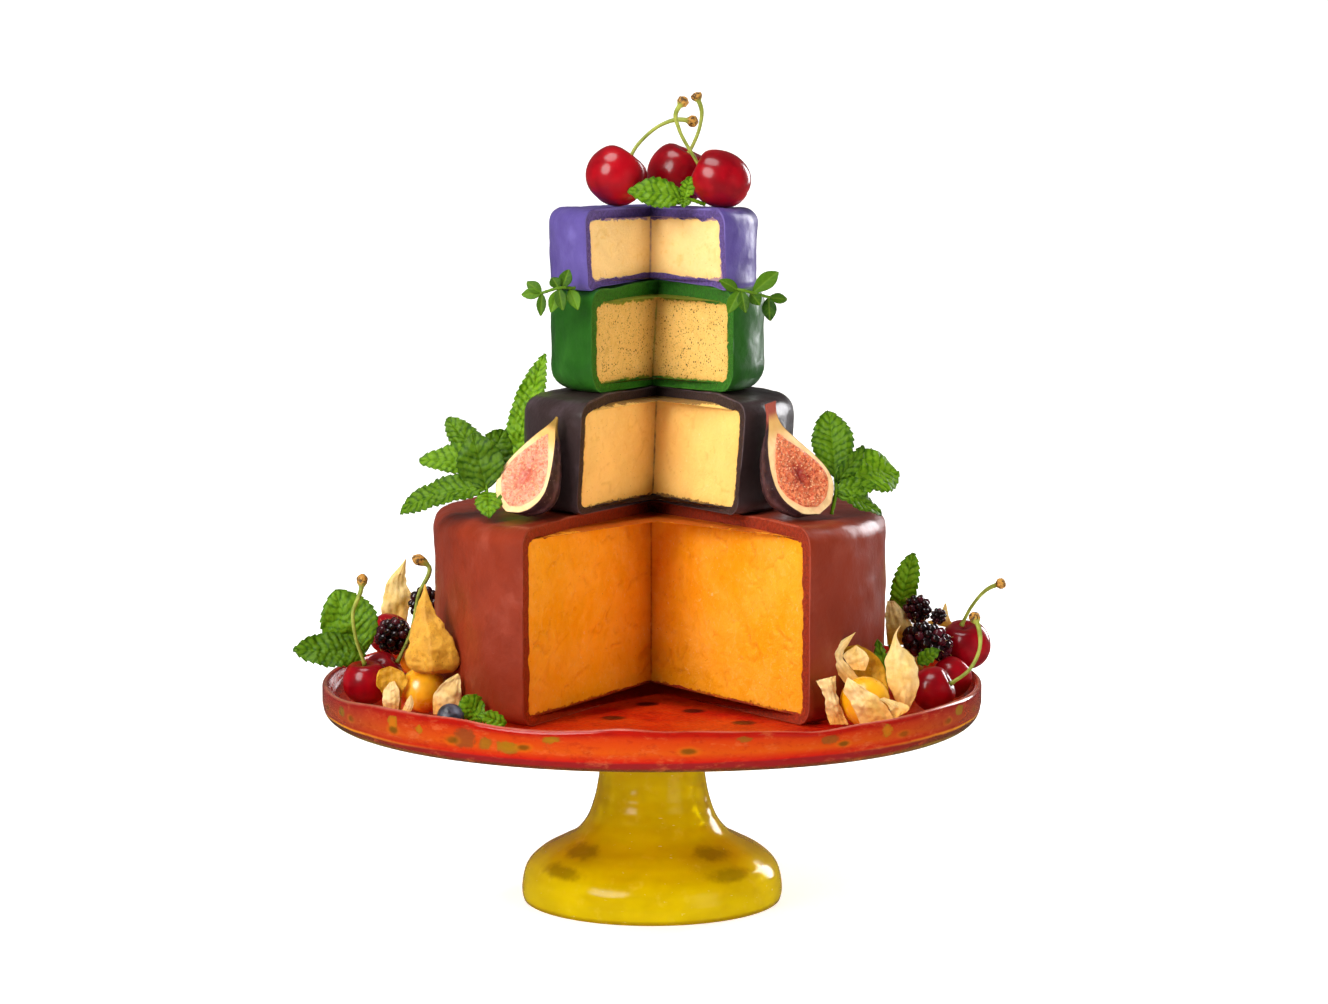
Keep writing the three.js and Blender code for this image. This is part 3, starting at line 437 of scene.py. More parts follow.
def turned(profile, sides=192):
    """A profile of (radius, height) points turned about the upright axis."""
    turn = round_angles(sides)
    reach, height = (profile[:, k, None] * np.ones(sides) for k in range(2))
    return skin(np.stack([reach * np.cos(turn), reach * np.sin(turn), height], -1))


def tilts(rows):
    """Angles from the upright axis of a ball's rows, from just above its foot to just below its head."""
    return np.linspace(np.pi, 0, rows + 2)[1:-1, None]


def ball(rows, columns, reach=None):
    """A unit ball as a grid from its foot to its head. reach(polar, turn) may scale its radius, by the
    angle from the head and the angle round it."""
    polar, turn = tilts(rows), round_angles(columns)[None]
    radius = reach(polar, turn) if reach else 1
    return np.stack(
        [np.sin(polar) * np.cos(turn) * radius, np.sin(polar) * np.sin(turn) * radius,
         np.cos(polar) * np.ones_like(turn) * radius], -1)


def posed(grid, at, size, axis=(0, 0, 1)):
    """A unit shape scaled to its half sizes, with its +Z turned to axis, set at a place."""
    return (grid * size) @ facing(axis) + np.asarray(at, float)


def thickened(top, thickness):
    """A sheet and its underside as one ring of columns, from the sheet's grid and its thickness."""
    under = top - outward(top, around=False) * thickness
    return np.concatenate([top, under[:, ::-1]], 1)


def both_sides(values):
    """The numbers of a sheet's columns, and those of its underside, which run back."""
    return np.concatenate([values, values[:, ::-1]], 1)


def front_back(front, back, columns):
    """One number for the front columns of a sheet and one for those of its underside."""
    return np.repeat([float(front), float(back)], columns)


def piece(name, skins, paint, cad=(), sharp=None, weld=False, rounding=None, stage=False):
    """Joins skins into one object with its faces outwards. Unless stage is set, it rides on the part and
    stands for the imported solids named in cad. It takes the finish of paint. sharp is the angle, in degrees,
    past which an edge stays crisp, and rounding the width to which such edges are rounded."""
    starts = np.cumsum([0] + [len(s[0]) for s in skins])
    points = np.vstack([s[0] for s in skins]) * MM
    quads = np.vstack([s[1] + start for s, start in zip(skins, starts)])
    fans = np.vstack([s[2] + start for s, start in zip(skins, starts)])
    faces = np.vstack([fans, quads[:, :3], quads[:, [0, 2, 3]]])
    middle = points.mean(0)
    a, b, c = (points[faces[:, k]] - middle for k in range(3))
    if (a * np.cross(b, c)).sum() < 0:
        quads, fans = quads[:, ::-1], fans[:, ::-1]
    corners = np.concatenate([quads.ravel(), fans.ravel()]).astype(np.int32)
    first = np.concatenate([np.arange(len(quads)) * 4, 4 * len(quads) + np.arange(len(fans)) * 3])
    mesh = bpy.data.meshes.new(name)
    mesh.vertices.add(len(points))
    mesh.vertices.foreach_set("co", points.astype(np.float32).ravel())
    mesh.loops.add(len(corners))
    mesh.loops.foreach_set("vertex_index", corners)
    mesh.polygons.add(len(first))
    mesh.polygons.foreach_set("loop_start", first.astype(np.int32))
    for mark in sorted({m for s in skins for m in s[3]}):
        values = np.concatenate([s[3].get(mark, np.zeros(len(s[0]))) for s in skins])
        mesh.attributes.new(mark, "FLOAT", "POINT").data.foreach_set("value", values.astype(np.float32))
    mesh.update(calc_edges=True)
    mesh.validate()
    if weld:
        shell = bmesh.new()
        shell.from_mesh(mesh)
        bmesh.ops.remove_doubles(shell, verts=shell.verts, dist=0.01 * MM)
        bmesh.ops.dissolve_degenerate(shell, edges=shell.edges, dist=0.002 * MM)
        bmesh.ops.recalc_face_normals(shell, faces=shell.faces)
        shell.to_mesh(mesh)
        shell.free()
    mesh.polygons.foreach_set("use_smooth", np.ones(len(mesh.polygons), bool))
    if sharp:
        mesh.set_sharp_from_angle(angle=np.radians(sharp))
    mesh.materials.append(paint.material)
    thing = bpy.data.objects.new(name, mesh)
    bpy.context.scene.collection.objects.link(thing)
    if rounding:
        bevel = thing.modifiers.new("rounding", "BEVEL")
        bevel.width, bevel.segments, bevel.limit_method = rounding * MM, 2, "ANGLE"
        bevel.angle_limit = np.radians(sharp)
    if stage:
        return thing
    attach(thing, "root")
    if cad:
        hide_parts(*cad)
    return thing


def packed(*names):
    """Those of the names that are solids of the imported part."""
    return [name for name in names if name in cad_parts]


# ---- paint ----


class Value:
    """A shader socket. Sums, products and powers of it add Math nodes to its material."""

    def __init__(self, paint, socket):
        self.paint, self.socket = paint, socket

    def maths(self, operation, *values):
        """A Math node on sockets and numbers."""
        return self.paint.node("ShaderNodeMath", {"operation": operation}, dict(enumerate(values)))

    def __add__(self, other):
        return self.maths("ADD", self, other)

    def __sub__(self, other):
        return self.maths("SUBTRACT", self, other)

    def __rsub__(self, other):
        return self.maths("SUBTRACT", other, self)

    def __mul__(self, other):
        return self.maths("MULTIPLY", self, other)

    def __truediv__(self, other):
        return self.maths("DIVIDE", self, other)

    def __rtruediv__(self, other):
        return self.maths("DIVIDE", other, self)

    def __pow__(self, other):
        return self.maths("POWER", self, other)

    def __abs__(self):
        return self.maths("ABSOLUTE", self)

    def __mod__(self, other):
        return self.maths("FLOORED_MODULO", self, other)

    __radd__ = __add__
    __rmul__ = __mul__

    def sine(self):
        return self.maths("SINE", self)

    def step(self, low, high):
        """0 where it is at low, 1 where it is at high, and a smooth step between them."""
        settings = {"interpolation_type": "SMOOTHSTEP"}
        return self.paint.node("ShaderNodeMapRange", settings, {0: self, 1: low, 2: high, 3: 0.0, 4: 1.0})


class Paint:
    """A material that is built from nodes and ends in one Principled shader. A colour in it is three
    numbers, the code of a chip, or a Value."""

    def __init__(self, name):
        self.material = bpy.data.materials.new(name)
        self.material.use_nodes = True
        self.tree = self.material.node_tree
        self.tree.nodes.clear()
        self.place = self.node("ShaderNodeTexCoord", output="Object")

    def node(self, kind, settings=None, inputs=None, output=0):
        """Adds a node: its settings first, then the values or links of its sockets."""
        made = self.tree.nodes.new(kind)
        for name, setting in (settings or {}).items():
            if name == "stops":
                for _ in setting[2:]:
                    made.color_ramp.elements.new(1)
                for element, (position, tone) in zip(made.color_ramp.elements, setting):
                    element.position, element.color = position, (*chip(tone), 1)
            else:
                setattr(made, name, setting)
        for name, value in (inputs or {}).items():
            socket = made.inputs[name]
            if isinstance(value, Value):
                self.tree.links.new(value.socket, socket)
            elif socket.type == "RGBA":
                socket.default_value = (*chip(value), 1)
            else:
                socket.default_value = value
        return Value(self, made.outputs[output])

    def mark(self, name):
        """A number kept with the points of the piece."""
        return self.node("ShaderNodeAttribute", {"attribute_name": name}, output="Fac")

    def axes(self):
        """The x, y and z of a place, in metres."""
        split = self.node("ShaderNodeSeparateXYZ", inputs={0: self.place}, output="X")
        return [split, *(Value(self, split.socket.node.outputs[k]) for k in ("Y", "Z"))]

    def sector(self, x, y, count, start):
        """How far a place lies through its sector, 0 to 1, where count even sectors go once round the
        upright axis and start shifts them."""
        return (x.maths("ARCTAN2", y, x) * (count / (2 * np.pi)) + start) % 1

    def stretched(self, x, y, z):
        """Places scaled along each axis, to draw a pattern out."""
        return self.node("ShaderNodeMapping", {}, {"Vector": self.place, "Scale": (x, y, z)})

    def noise(self, size, detail=3, rough=0.55, bend=0.0, place=None):
        """Cloudy noise, 0 to 1, whose largest clouds are about size millimetres across."""
        inputs = {"Vector": place or self.place, "Scale": 1 / (size * MM), "Detail": detail,
                  "Roughness": rough, "Distortion": bend}
        return self.node("ShaderNodeTexNoise", {}, inputs, "Fac")

    def cells(self, size, feature="F1"):
        """Distance to the nearest of many scattered dots, about size millimetres apart, as a share of
        size. SMOOTH_F1 rounds the ridges half way between dots."""
        inputs = {"Vector": self.place, "Scale": 1 / (size * MM), "Randomness": 1.0}
        return self.node("ShaderNodeTexVoronoi", {"feature": feature}, inputs, "Distance")

    def ramp(self, value, *stops):
        """A colour for each value from 0 to 1, blended between stops of a position and a colour."""
        return self.node("ShaderNodeValToRGB", {"stops": stops}, {0: value})

    def mix(self, share, first, second):
        """first where share is 0 and second where it is 1."""
        settings = {"data_type": "RGBA", "clamp_factor": True}
        return self.node("ShaderNodeMix", settings, {0: share, 6: first, 7: second}, 2)

    def layers(self, base, *coats):
        """base under some coats, each given by how much it covers, 0 to 1, and its colour."""
        for share, tone in coats:
            base = self.mix(share, base, tone)
        return base

    def bump(self, height, depth, before=None):
        """Tilts the surface as if height, from 0 to 1, stood depth millimetres above it."""
        inputs = {"Height": height, "Distance": depth * MM, "Strength": 1.0}
        if before:
            inputs["Normal"] = before
        return self.node("ShaderNodeBump", {}, inputs)

    def finish(self, tone, roughness, bump=None, **sockets):
        """The Principled shader and the material's output."""
        inputs = {"Base Color": tone, "Roughness": roughness}
        if bump:
            inputs["Normal"] = bump
        inputs.update({name.replace("_", " "): value for name, value in sockets.items()})
        shader = self.node("ShaderNodeBsdfPrincipled", {}, inputs)
        output = self.tree.nodes.new("ShaderNodeOutputMaterial")
        self.tree.links.new(shader.socket, output.inputs["Surface"])
        return self


def darker(tone, share):
    """A colour with a share of its brightness."""
    return tuple(c * share for c in chip(tone))


def toward(tone, other, share):
    """A colour part of the way to another."""
    return tuple(a + (b - a) * share for a, b in zip(chip(tone), chip(other)))


# ---- settings ----


def length(name, description, millimetres):
    return bpy.props.FloatProperty(
        name=name, description=description, default=millimetres * MM, min=0, unit="LENGTH", precision=4)


def fraction(name, description, default, most=1.0):
    return bpy.props.FloatProperty(name=name, description=description, default=default, min=0, max=most)


def power(name, description, watts):
    return bpy.props.FloatProperty(name=name, description=description, default=watts, min=0, unit="POWER")


def colour(name, description, code):
    return bpy.props.FloatVectorProperty(
        name=name, description=description, default=chip(code), size=3, min=0, max=1, subtype="COLOR")


class StandSettings(bpy.types.PropertyGroup):
    """Sizes and colours of the glass stand."""

    radius: length("Plate radius", "From the middle of the plate to the outside of its rim", 139.8)
    deep: colour("Plate middle", "Glass in the middle of the plate", "b40404")
    bright: colour("Plate rim", "Glass at the front of the plate's thin rim", "e85a10")
    foot: colour("Foot", "Glass of the foot", "e8d200")


class CheeseSettings(bpy.types.PropertyGroup):
    """Colours and relief of the waxed cheeses."""

    red: colour("Red wax", "Wax of the lowest cheese", "8c2c10")
    black: colour("Black wax", "Wax of the second cheese", "342624")
    green: colour("Green wax", "Wax of the third cheese", "1a520a")
    purple: colour("Purple wax", "Wax of the top cheese", "56468c")
    red_paste: colour("Lowest paste", "Inside of the lowest cheese", "ffa400")
    black_paste: colour("Second paste", "Inside of the second cheese", "fecb70")
    green_paste: colour("Third paste", "Inside of the third cheese", "e6b862")
    purple_paste: colour("Top paste", "Inside of the top cheese", "fed58e")
    dents: length("Dents", "Depth of the soft dents in the wax", 0.5)
    lip: length("Lip", "How far cut wax stands proud of the cheese", 0.25)


class FruitSettings(bpy.types.PropertyGroup):
    """Colours of the fruit and husks."""

    cherry: colour("Cherry", "Cherry skin", "8c0212")
    stem: colour("Cherry stem", "Green part of a stem", "8e9a2e")
    knob: colour("Stem end", "Dry end of a stem", "a8701e")
    bramble: colour("Bramble", "Dark drupelets", "260c12")
    ground_cherry: colour("Ground cherry", "Skin of a ground cherry", "ffb00c")
    husk: colour("Husk", "Outside of a papery husk", "f4c670")
    husk_inside: colour("Husk inside", "Inside of a papery husk, and the closed husk", "cc8c06")
    fig_skin: colour("Fig skin", "Outside of a fig", "34202a")
    fig_rind: colour("Fig rind", "Pale flesh under the skin", "fbd094")
    fig_pulp: colour("Fig pulp", "Seedy middle of the left fig", "fba888")
    fig_red: colour("Fig red", "Seedy middle of the right fig", "f48a58")
    blueberry: colour("Blueberry", "Blueberry skin", "34323e")


class HerbSettings(bpy.types.PropertyGroup):
    """Colours of the leaves."""

    mint: colour("Mint", "Upper side of a mint leaf", "285400")
    vein: colour("Mint vein", "Veins of a mint leaf", "6c9a18")
    oregano: colour("Oregano", "Oregano leaf", "204a04")


class StageSettings(bpy.types.PropertyGroup):
    """Camera, lamps and floor."""

    distance: length("Distance", "From the camera to the middle of the cake, along the floor", 1430)
    height: length("Height", "Height of the camera above the floor", 334.9)
    lens: bpy.props.FloatProperty(name="Lens", description="Focal length", default=92.17, unit="CAMERA")
    floor: colour("Floor", "Pale floor and backdrop", "f4f3f1")
    key: power("Key", "Large lamp at the front left", 48)
    fill: power("Fill", "Lamp at the front right", 15)
    top: power("Top", "Lamp overhead, a little to the left", 12)
    rim: power("Rim", "Tall lamp behind on the right", 13)
    air: fraction("Air", "Brightness of the light from all round", 0.08, 4)
    glow: fraction("Glow", "How far the floor shines by itself", 0.62)


class CakeSettings(bpy.types.PropertyGroup):
    """All settings of the cheesecake."""

    stand: bpy.props.PointerProperty(type=StandSettings, name="Stand", description="Glass stand")
    cheese: bpy.props.PointerProperty(type=CheeseSettings, name="Cheeses", description="Waxed cheeses")
    fruit: bpy.props.PointerProperty(type=FruitSettings, name="Fruit", description="Fruit and husks")
    herb: bpy.props.PointerProperty(type=HerbSettings, name="Herbs", description="Mint and oregano")
    stage: bpy.props.PointerProperty(type=StageSettings, name="Stage", description="Camera, lamps, floor")


# ---- stand ----


def plate_profile(radius):
    """From the middle of the underside, round the thick lower edge, up the rim, over its rounded top and
    down the inside to the floor, as a closed outline."""
    under, floor, top, wall, edge, cove = PLATE.values()
    lip = wall / 2
    inner = radius - wall
    return np.vstack([
        line((0.5, under), (radius - edge, under), 30),
        arc(radius - edge - 0.3, under + edge, edge, -90, 0, 12),
        line((radius - 0.3, under + edge + 0.1), (radius, under + edge + 1.2), 3),
        line((radius, under + edge + 1.2), (radius, top - lip), 7),
        arc(radius - lip, top - lip, lip, 0, 180, 11),
        line((inner, top - lip - 0.2), (inner - 0.3, floor + cove), 5),
        arc(inner - 0.3 - cove, floor + cove, cove, 0, -90, 10),
        line((inner - cove - 1, floor), (0.5, floor), 115),
    ])


def plate_skin(radius):
    """The plate's outline turned about the upright axis. Its rim is raised and lowered by RIM_WAVE, more
    towards its top, and its thick lower edge droops a little on the right. marks: the height before that,
    how near a dark spot of the floor is, and how clouded the rim is and how amber the cloud."""
    points, quads, fans, _ = turned(plate_profile(radius), 360)
    x, y, level = points.T.copy()
    under, floor, top = (PLATE[k] for k in ("under", "floor", "top"))
    outer = ease(*RIM_REACH, np.hypot(x, y))
    turn = np.degrees(np.arctan2(y, x)) % 360
    wave = glide(*np.array(RIM_WAVE, float).T, turn)
    points[:, 2] += wave * np.clip((level - floor) / (top - floor), 0, 1) * outer
    thick = 4.5  # height of the lower edge that droops
    points[:, 2] -= ease(0, 110, x) * np.clip((under + thick - level) / thick, 0, 1) * outer
    spots = np.array(FLOOR_SPOTS)
    near = np.hypot(x[:, None] - spots[:, 0], y[:, None] - spots[:, 1]).min(1) / SPOT_RADIUS
    angle, high, wide, tall, amber = np.array(RIM_CLOUDS).T
    aside = np.radians((turn[:, None] - angle + 180) % 360 - 180) * radius / wide
    cloud = np.exp(-((aside**2 + ((level[:, None] - high) / tall) ** 2) ** 2))
    marks = {"level": level, "spot": 1 - ease(0.6, 1.15, near), "cloud": cloud.max(1),
             "amber": (cloud * amber).max(1)}
    return points, quads, fans, marks


def plate_paint(s):
    """Pressed glass in bands that the height on the rim picks: a pale line along the top, which is a painted
    highlight, red below it, orange down the rim, a yellow line at its foot and mauve-brown in the thick
    edge, all duller at the sides, where the brighter front is painted light. Over them lie orange and dark
    red streaks, olive and amber clouds, and uneven ovals round the rim. The floor is red with orange grit,
    pebbles and dark round spots, and glows faintly as painted light."""
    p = Paint("plate_glass")
    x, y, _ = p.axes()
    level = p.mark("level")
    radius = (x * x + y * y) ** 0.5
    upper = level.step(84.5, 86)
    inside = radius.step(s.radius - 0.0016, s.radius - 0.0024) * upper
    inside = inside + radius.step(s.radius - 0.007, s.radius - 0.009) * (1 - upper)
    cloud = p.noise(24, 3)
    height = (level + (cloud - 0.5) * 1.1 - PLATE["under"]) / 16
    # The last stop of each ramp, a pale line along the rim's top, is a painted highlight.
    bands, ends = p.ramp(height, *RIM_FRONT), p.ramp(height, *RIM_SIDES)
    murk = (p.mark("cloud") + (p.noise(4, 4, 0.75) - 0.5) * 1.5).step(0.35, 0.75) * (1 - inside)
    tinge = p.ramp(p.mark("amber"), (0, "5a4420"), (0.4, "7c8010"), (1, "cc8410"))
    count, middle = RIM_OVALS["count"], RIM_OVALS["height"]
    sideways = (p.sector(x, y, count, 0.8) - 0.5) * (2 * np.pi / count * s.radius / MM)
    wide = RIM_OVALS["half_width"] + (p.noise(60, 1) - 0.5) * 3
    upward = (level + (p.noise(40, 1) - 0.5) * 3 - middle) / RIM_OVALS["half_height"]
    oval = ((sideways / wide) ** 2 + upward**2) ** 0.5 + (p.noise(3, 2) - 0.5) * 0.5
    seen = (1 - inside) * (1 - abs(level - middle).step(2.6, 3.4)) * p.noise(28, 2).step(0.4, 0.55)
    rim = p.layers(
        # Painted light: the front of the rim is brighter than its sides.
        p.mix((0 - y / radius).step(0.35, 0.9), ends, bands),
        (p.noise(9, 4, 0.7, place=p.stretched(1, 1, 2.5)).step(0.52, 0.74) * 0.35, "e08048"),
        (p.noise(5, 4, 0.75, place=p.stretched(1, 1, 2)).step(0.5, 0.7) * 0.4, "8c1406"),
        (murk * 0.6, tinge),
        ((1 - oval.step(0.9, 1.7)) * seen * 0.3, "d8780c"),
        ((1 - oval.step(0.4, 1.2)) * seen * 0.8, "5c4408"))
    grit = (p.noise(1.6, 4, 0.75) + p.noise(7, 2) * 0.3).step(0.6, 0.8)
    floor = p.layers(
        p.mix(cloud.step(0.35, 0.7), s.deep, toward(s.deep, s.bright, 0.35)),
        (grit * 0.55, toward(s.deep, s.bright, 0.7)),
        (p.noise(4, 3, 0.7).step(0.52, 0.68) * 0.5, darker(s.deep, 0.5)),
        (p.mark("spot") * 0.92, "300804"))
    low = inside * level.step(86.9, 86.5)
    bump = p.bump(p.cells(1.5, "SMOOTH_F1") * low * 1.6 + p.noise(7, 2) * 0.3, 0.25)
    # Painted light: the plate's floor glows faintly by itself, as glass lit from below.
    return p.finish(p.mix(inside, rim, floor), 0.09 + low * 0.25 + p.noise(12, 2) * 0.05, bump,
                    Transmission_Weight=0.3, IOR=1.42, Specular_IOR_Level=0.3,
                    Emission_Color=p.mix(low, (0, 0, 0), floor), Emission_Strength=0.12)


def foot_profile():
    """From the middle of the hollow down its inside, across the bottom edge, up the outside of the bell
    and in under the plate."""

    def smooth(side, count):
        far = distances(side)
        return glide(far, side, np.linspace(0, far[-1], count))

    profile = [smooth(FOOT_INSIDE, 50), line((50.6, 0), (54.6, 0), 4), smooth(FOOT_OUTSIDE, 70),
               line((21.5, 79.7), (0.5, 79.7), 8)]
    return np.maximum(np.vstack(profile), (0.3, 0))


def foot_paint(s):
    """Bright yellow glass, cloudy and streaked, with thin pale streaks that are painted glints and faint
    rings from the mould. Two rows of soft brown ovals round its shoulder are the plate seen through the
    glass, painted in as a reflection; the walls of its neck are painted darker than the front as shade, and a
    dark line of painted shade runs along its bottom."""
    p = Paint("foot_glass")
    x, y, z = p.axes()
    count, reflections = FOOT_PAINTED_REFLECTIONS["count"], FOOT_PAINTED_REFLECTIONS
    sideways = (p.sector(x, y, count, 0.05) - 0.5) * (2 * np.pi / count * reflections["radius"])
    upward = abs(z * 1000 - reflections["height"]) - reflections["apart"]
    reflection = ((sideways / reflections["half_width"]) ** 2 + (upward / reflections["half_height"]) ** 2) ** 0.5
    reflection = reflection + (p.noise(7, 4, 0.65) - 0.5) * 1.3
    aside = abs(y) / (x * x + y * y) ** 0.5
    wall = aside.step(0.74, 0.6) * aside.step(0.2, 0.36) * z.step(0.027, 0.04)
    flow = p.noise(26, 3, place=p.stretched(1, 1, 1.8)).step(0.3, 0.72)
    glass = p.layers(
        p.mix(flow, toward(s.foot, "b49800", 0.45), s.foot),
        (p.noise(6, 3).step(0.56, 0.74) * 0.3, toward(s.foot, "ffe258", 0.7)),
        # Painted reflection: the plate seen through the glass as brown ovals.
        ((1 - reflection.step(0.4, 1.2)) * 0.6, "6a5604"),
        # Painted shade: the walls of the neck are darker than the front.
        (wall * p.noise(12, 2).step(0.25, 0.6) * 0.5, "8c6c00"),
        # Painted shade: a dark line along the bottom edge.
        ((1 - z.step(0.0008, 0.0022)) * 0.6, "8c6400"),
        # Painted glints: thin pale streaks.
        (p.noise(3.5, 2, place=p.stretched(1, 1, 3)).step(0.7, 0.78) * 0.5, "fff2b0"))
    rings = (z * (2 * np.pi / 0.0052)).sine() * 0.5 + 0.5
    bump = p.bump(p.noise(14, 2), 0.25, p.bump(rings, 0.1))
    return p.finish(glass, 0.11 + p.noise(20, 1) * 0.05, bump, Transmission_Weight=0.42, IOR=1.33,
                    Specular_IOR_Level=0.35)


class CAKE_OT_stand(bpy.types.Operator):
    """Build the glass plate and its bell-shaped foot"""

    bl_idname = "cake.stand"
    bl_label = "Glass stand"

    def execute(self, context):
        s = context.scene.cake.stand
        piece("plate", [plate_skin(s.radius / MM)], plate_paint(s), ["stand_plate"], sharp=60)
        piece("foot", [turned(foot_profile())], foot_paint(s), ["stand_foot"], sharp=60)
        return {"FINISHED"}


# ---- cheeses ----


def wheel_outline(w, steps):
    """Outer and inner outline of a wheel's wax as (radius, height) from the middle of the underside to
    the middle of the top, with as many points each."""
    under, corner, side, shoulder, shelf, lid = steps

    def outline(rim, low, high, droop, dome, hollow, curve_low, curve_high):
        start, end = (max(rim - curve_low, 0), low), (rim, low + curve_low)
        upper = high - droop - curve_high
        bottom = line((0, low), start, under)
        bottom[:, 1] += hollow * (1 - bottom[:, 0] / rim) ** 2
        top = np.vstack([line((rim - curve_high, high - droop), (w["flat"], high), shelf),
                         np.linspace((w["flat"], high), (0, high), lid)])
        top[:, 1] += dome * (1 - np.minimum(top[:, 0] / w["flat"], 1) ** 2)
        return np.vstack([
            bottom,
            arc(rim - curve_low, low + curve_low, curve_low, -90, 0, corner)[:-1],
            line(end, (rim, upper), side),
            arc(rim - curve_high, upper, curve_high, 0, 90, shoulder)[:-1],
            top,
        ])

    def sagged(rows):
        rim = ease(0.74, 0.99, rows[:, 0] / w["radius"])
        rows[:, 1] -= w.get("sag", 0) * rim * ease(8, 0, rows[:, 1] - w["low"])
        return rows

    outer = outline(w["radius"], w["low"], w["high"], w["droop"], w["dome"], w.get("hollow", 0),
                    w["round_low"], w["round_high"])
    inner = outline(w["radius"] - w["side"], w["low"] + w["base"], w["high"] - w["lid"], w["droop"],
                    w["dome"], w.get("hollow", 0), max(w["round_low"] - w["side"], 3),
                    max(w["round_high"] - w["side"], 3))
    return sagged(outer), sagged(inner)


def cut_frame(w, height):
    """The apex of a wheel's cut at each height, and the angles about it of the two cut faces."""
    level = (height - w["low"]) / (w["high"] - w["low"])
    apex_x = w["apex"][0] + (w["apex"][1] - w["apex"][0]) * level
    angles = []
    for side in ("left", "right"):
        corner = w[side][0] + (w[side][1] - w[side][0]) * level
        front = -np.sqrt(w["radius"] ** 2 - (corner - w["x"]) ** 2)
        angles.append(np.arctan2(front - w["apex_y"], corner - apex_x))
    return apex_x, angles[0] + 2 * np.pi, angles[1]


def wheel_points(w, radius, height, part, forward=0.0):
    """Places at a radius and height on the ray that stands part of the way round from the left cut (0),
    behind the apex, to the right cut (1). A ray starts at the apex and meets each circle about the
    wheel's middle; near the middle, distances shrink evenly to the apex instead. forward moves a place
    out of the cut face, square to it."""
    apex_x, left, right = cut_frame(w, height)
    angle = left + (right - left) * part
    along = np.stack([np.cos(angle), np.sin(angle)], -1)
    offset = np.stack([apex_x - w["x"], np.full_like(apex_x, w["apex_y"])], -1)
    near = np.linalg.norm(offset, axis=-1) + 3
    circle = np.maximum(radius, near)
    lean = (offset * along).sum(-1)
    run = -lean + np.sqrt(lean**2 - (offset**2).sum(-1) + circle**2)
    run = run * np.minimum(radius / near, 1)
    turn = np.where(part < 0.5, 1.0, -1.0)
    out = np.stack([-np.sin(angle) * turn, np.cos(angle) * turn], -1)
    flat = along * run[..., None] + out * np.asarray(forward)[..., None]
    return np.stack([apex_x + flat[..., 0], w["apex_y"] + flat[..., 1], height * np.ones_like(run)], -1), run


def wax_coat(w, seed, dents, lip):
    """The wax of one wheel as a closed coat. Each step along the outline is a loop: round the back on the
    outside, in across the right cut, back round on the inside and out across the left cut. The cut wax
    undulates where it meets the paste, and soft ripples dent the outside. marks: whether it is on the
    cut, how much it faces up, and how deep it lies in the wax."""
    outer, inner = wheel_outline(w, (22, 8, 34, 10, 8, 18))
    around, within, across = 190, 60, 8  # columns on the outside, on the inside and on each cut
    even = np.linspace(0, 1, around)
    back = 0.75 * even + 0.25 * (0.5 - 0.5 * np.cos(np.pi * even))
    band = np.array([0.12, 0.3, 0.5, 0.7, 0.9, 1.0])
    rest = 0.84
    part = np.r_[back, np.ones(across), np.linspace(1, 0, within), np.zeros(across)]
    depth = np.r_[np.zeros(around), band, 1, rest, np.full(within, rest), rest, 1, band[::-1]]
    stand, edge = np.full(len(band), lip), [0.02, 0.02]
    proud = np.r_[np.zeros(around), stand, edge, np.zeros(within), edge, stand]
    proud[[0, around - 1]] = lip
    cut = np.r_[np.zeros(around), np.ones(across), np.zeros(within), np.ones(across)]
    outline = outer[:, None] + (inner - outer)[:, None] * depth[None, :, None]
    place = np.stack([outline[..., 0], outline[..., 1], part * 40 + outline[..., 1] * 0.3], -1)
    wave = crumple(place, seed + 5, (0.16, 9), (0.09, 2.6)) * cut * (depth > 0.6)
    outline = outline + (inner - outer)[:, None] * wave[..., None]
    flat = outline.shape[:2]
    grid, _ = wheel_points(w, outline[..., 0], outline[..., 1], np.broadcast_to(part, flat),
                           np.broadcast_to(proud, flat))
    soft = crumple(grid, seed, (1, 42), (0.5, 15), (0.1, 5))
    free = (depth == 0) * ease(w["low"], w["low"] + 6, grid[..., 2])
    grid = grid + outward(grid) * (soft * dents * free)[..., None]
    crown = ease(-0.6, 0.2, -np.gradient(outer[:, 0]))[:, None]
    return skin(grid, closed=False, cut=cut, crown=crown, depth=depth)


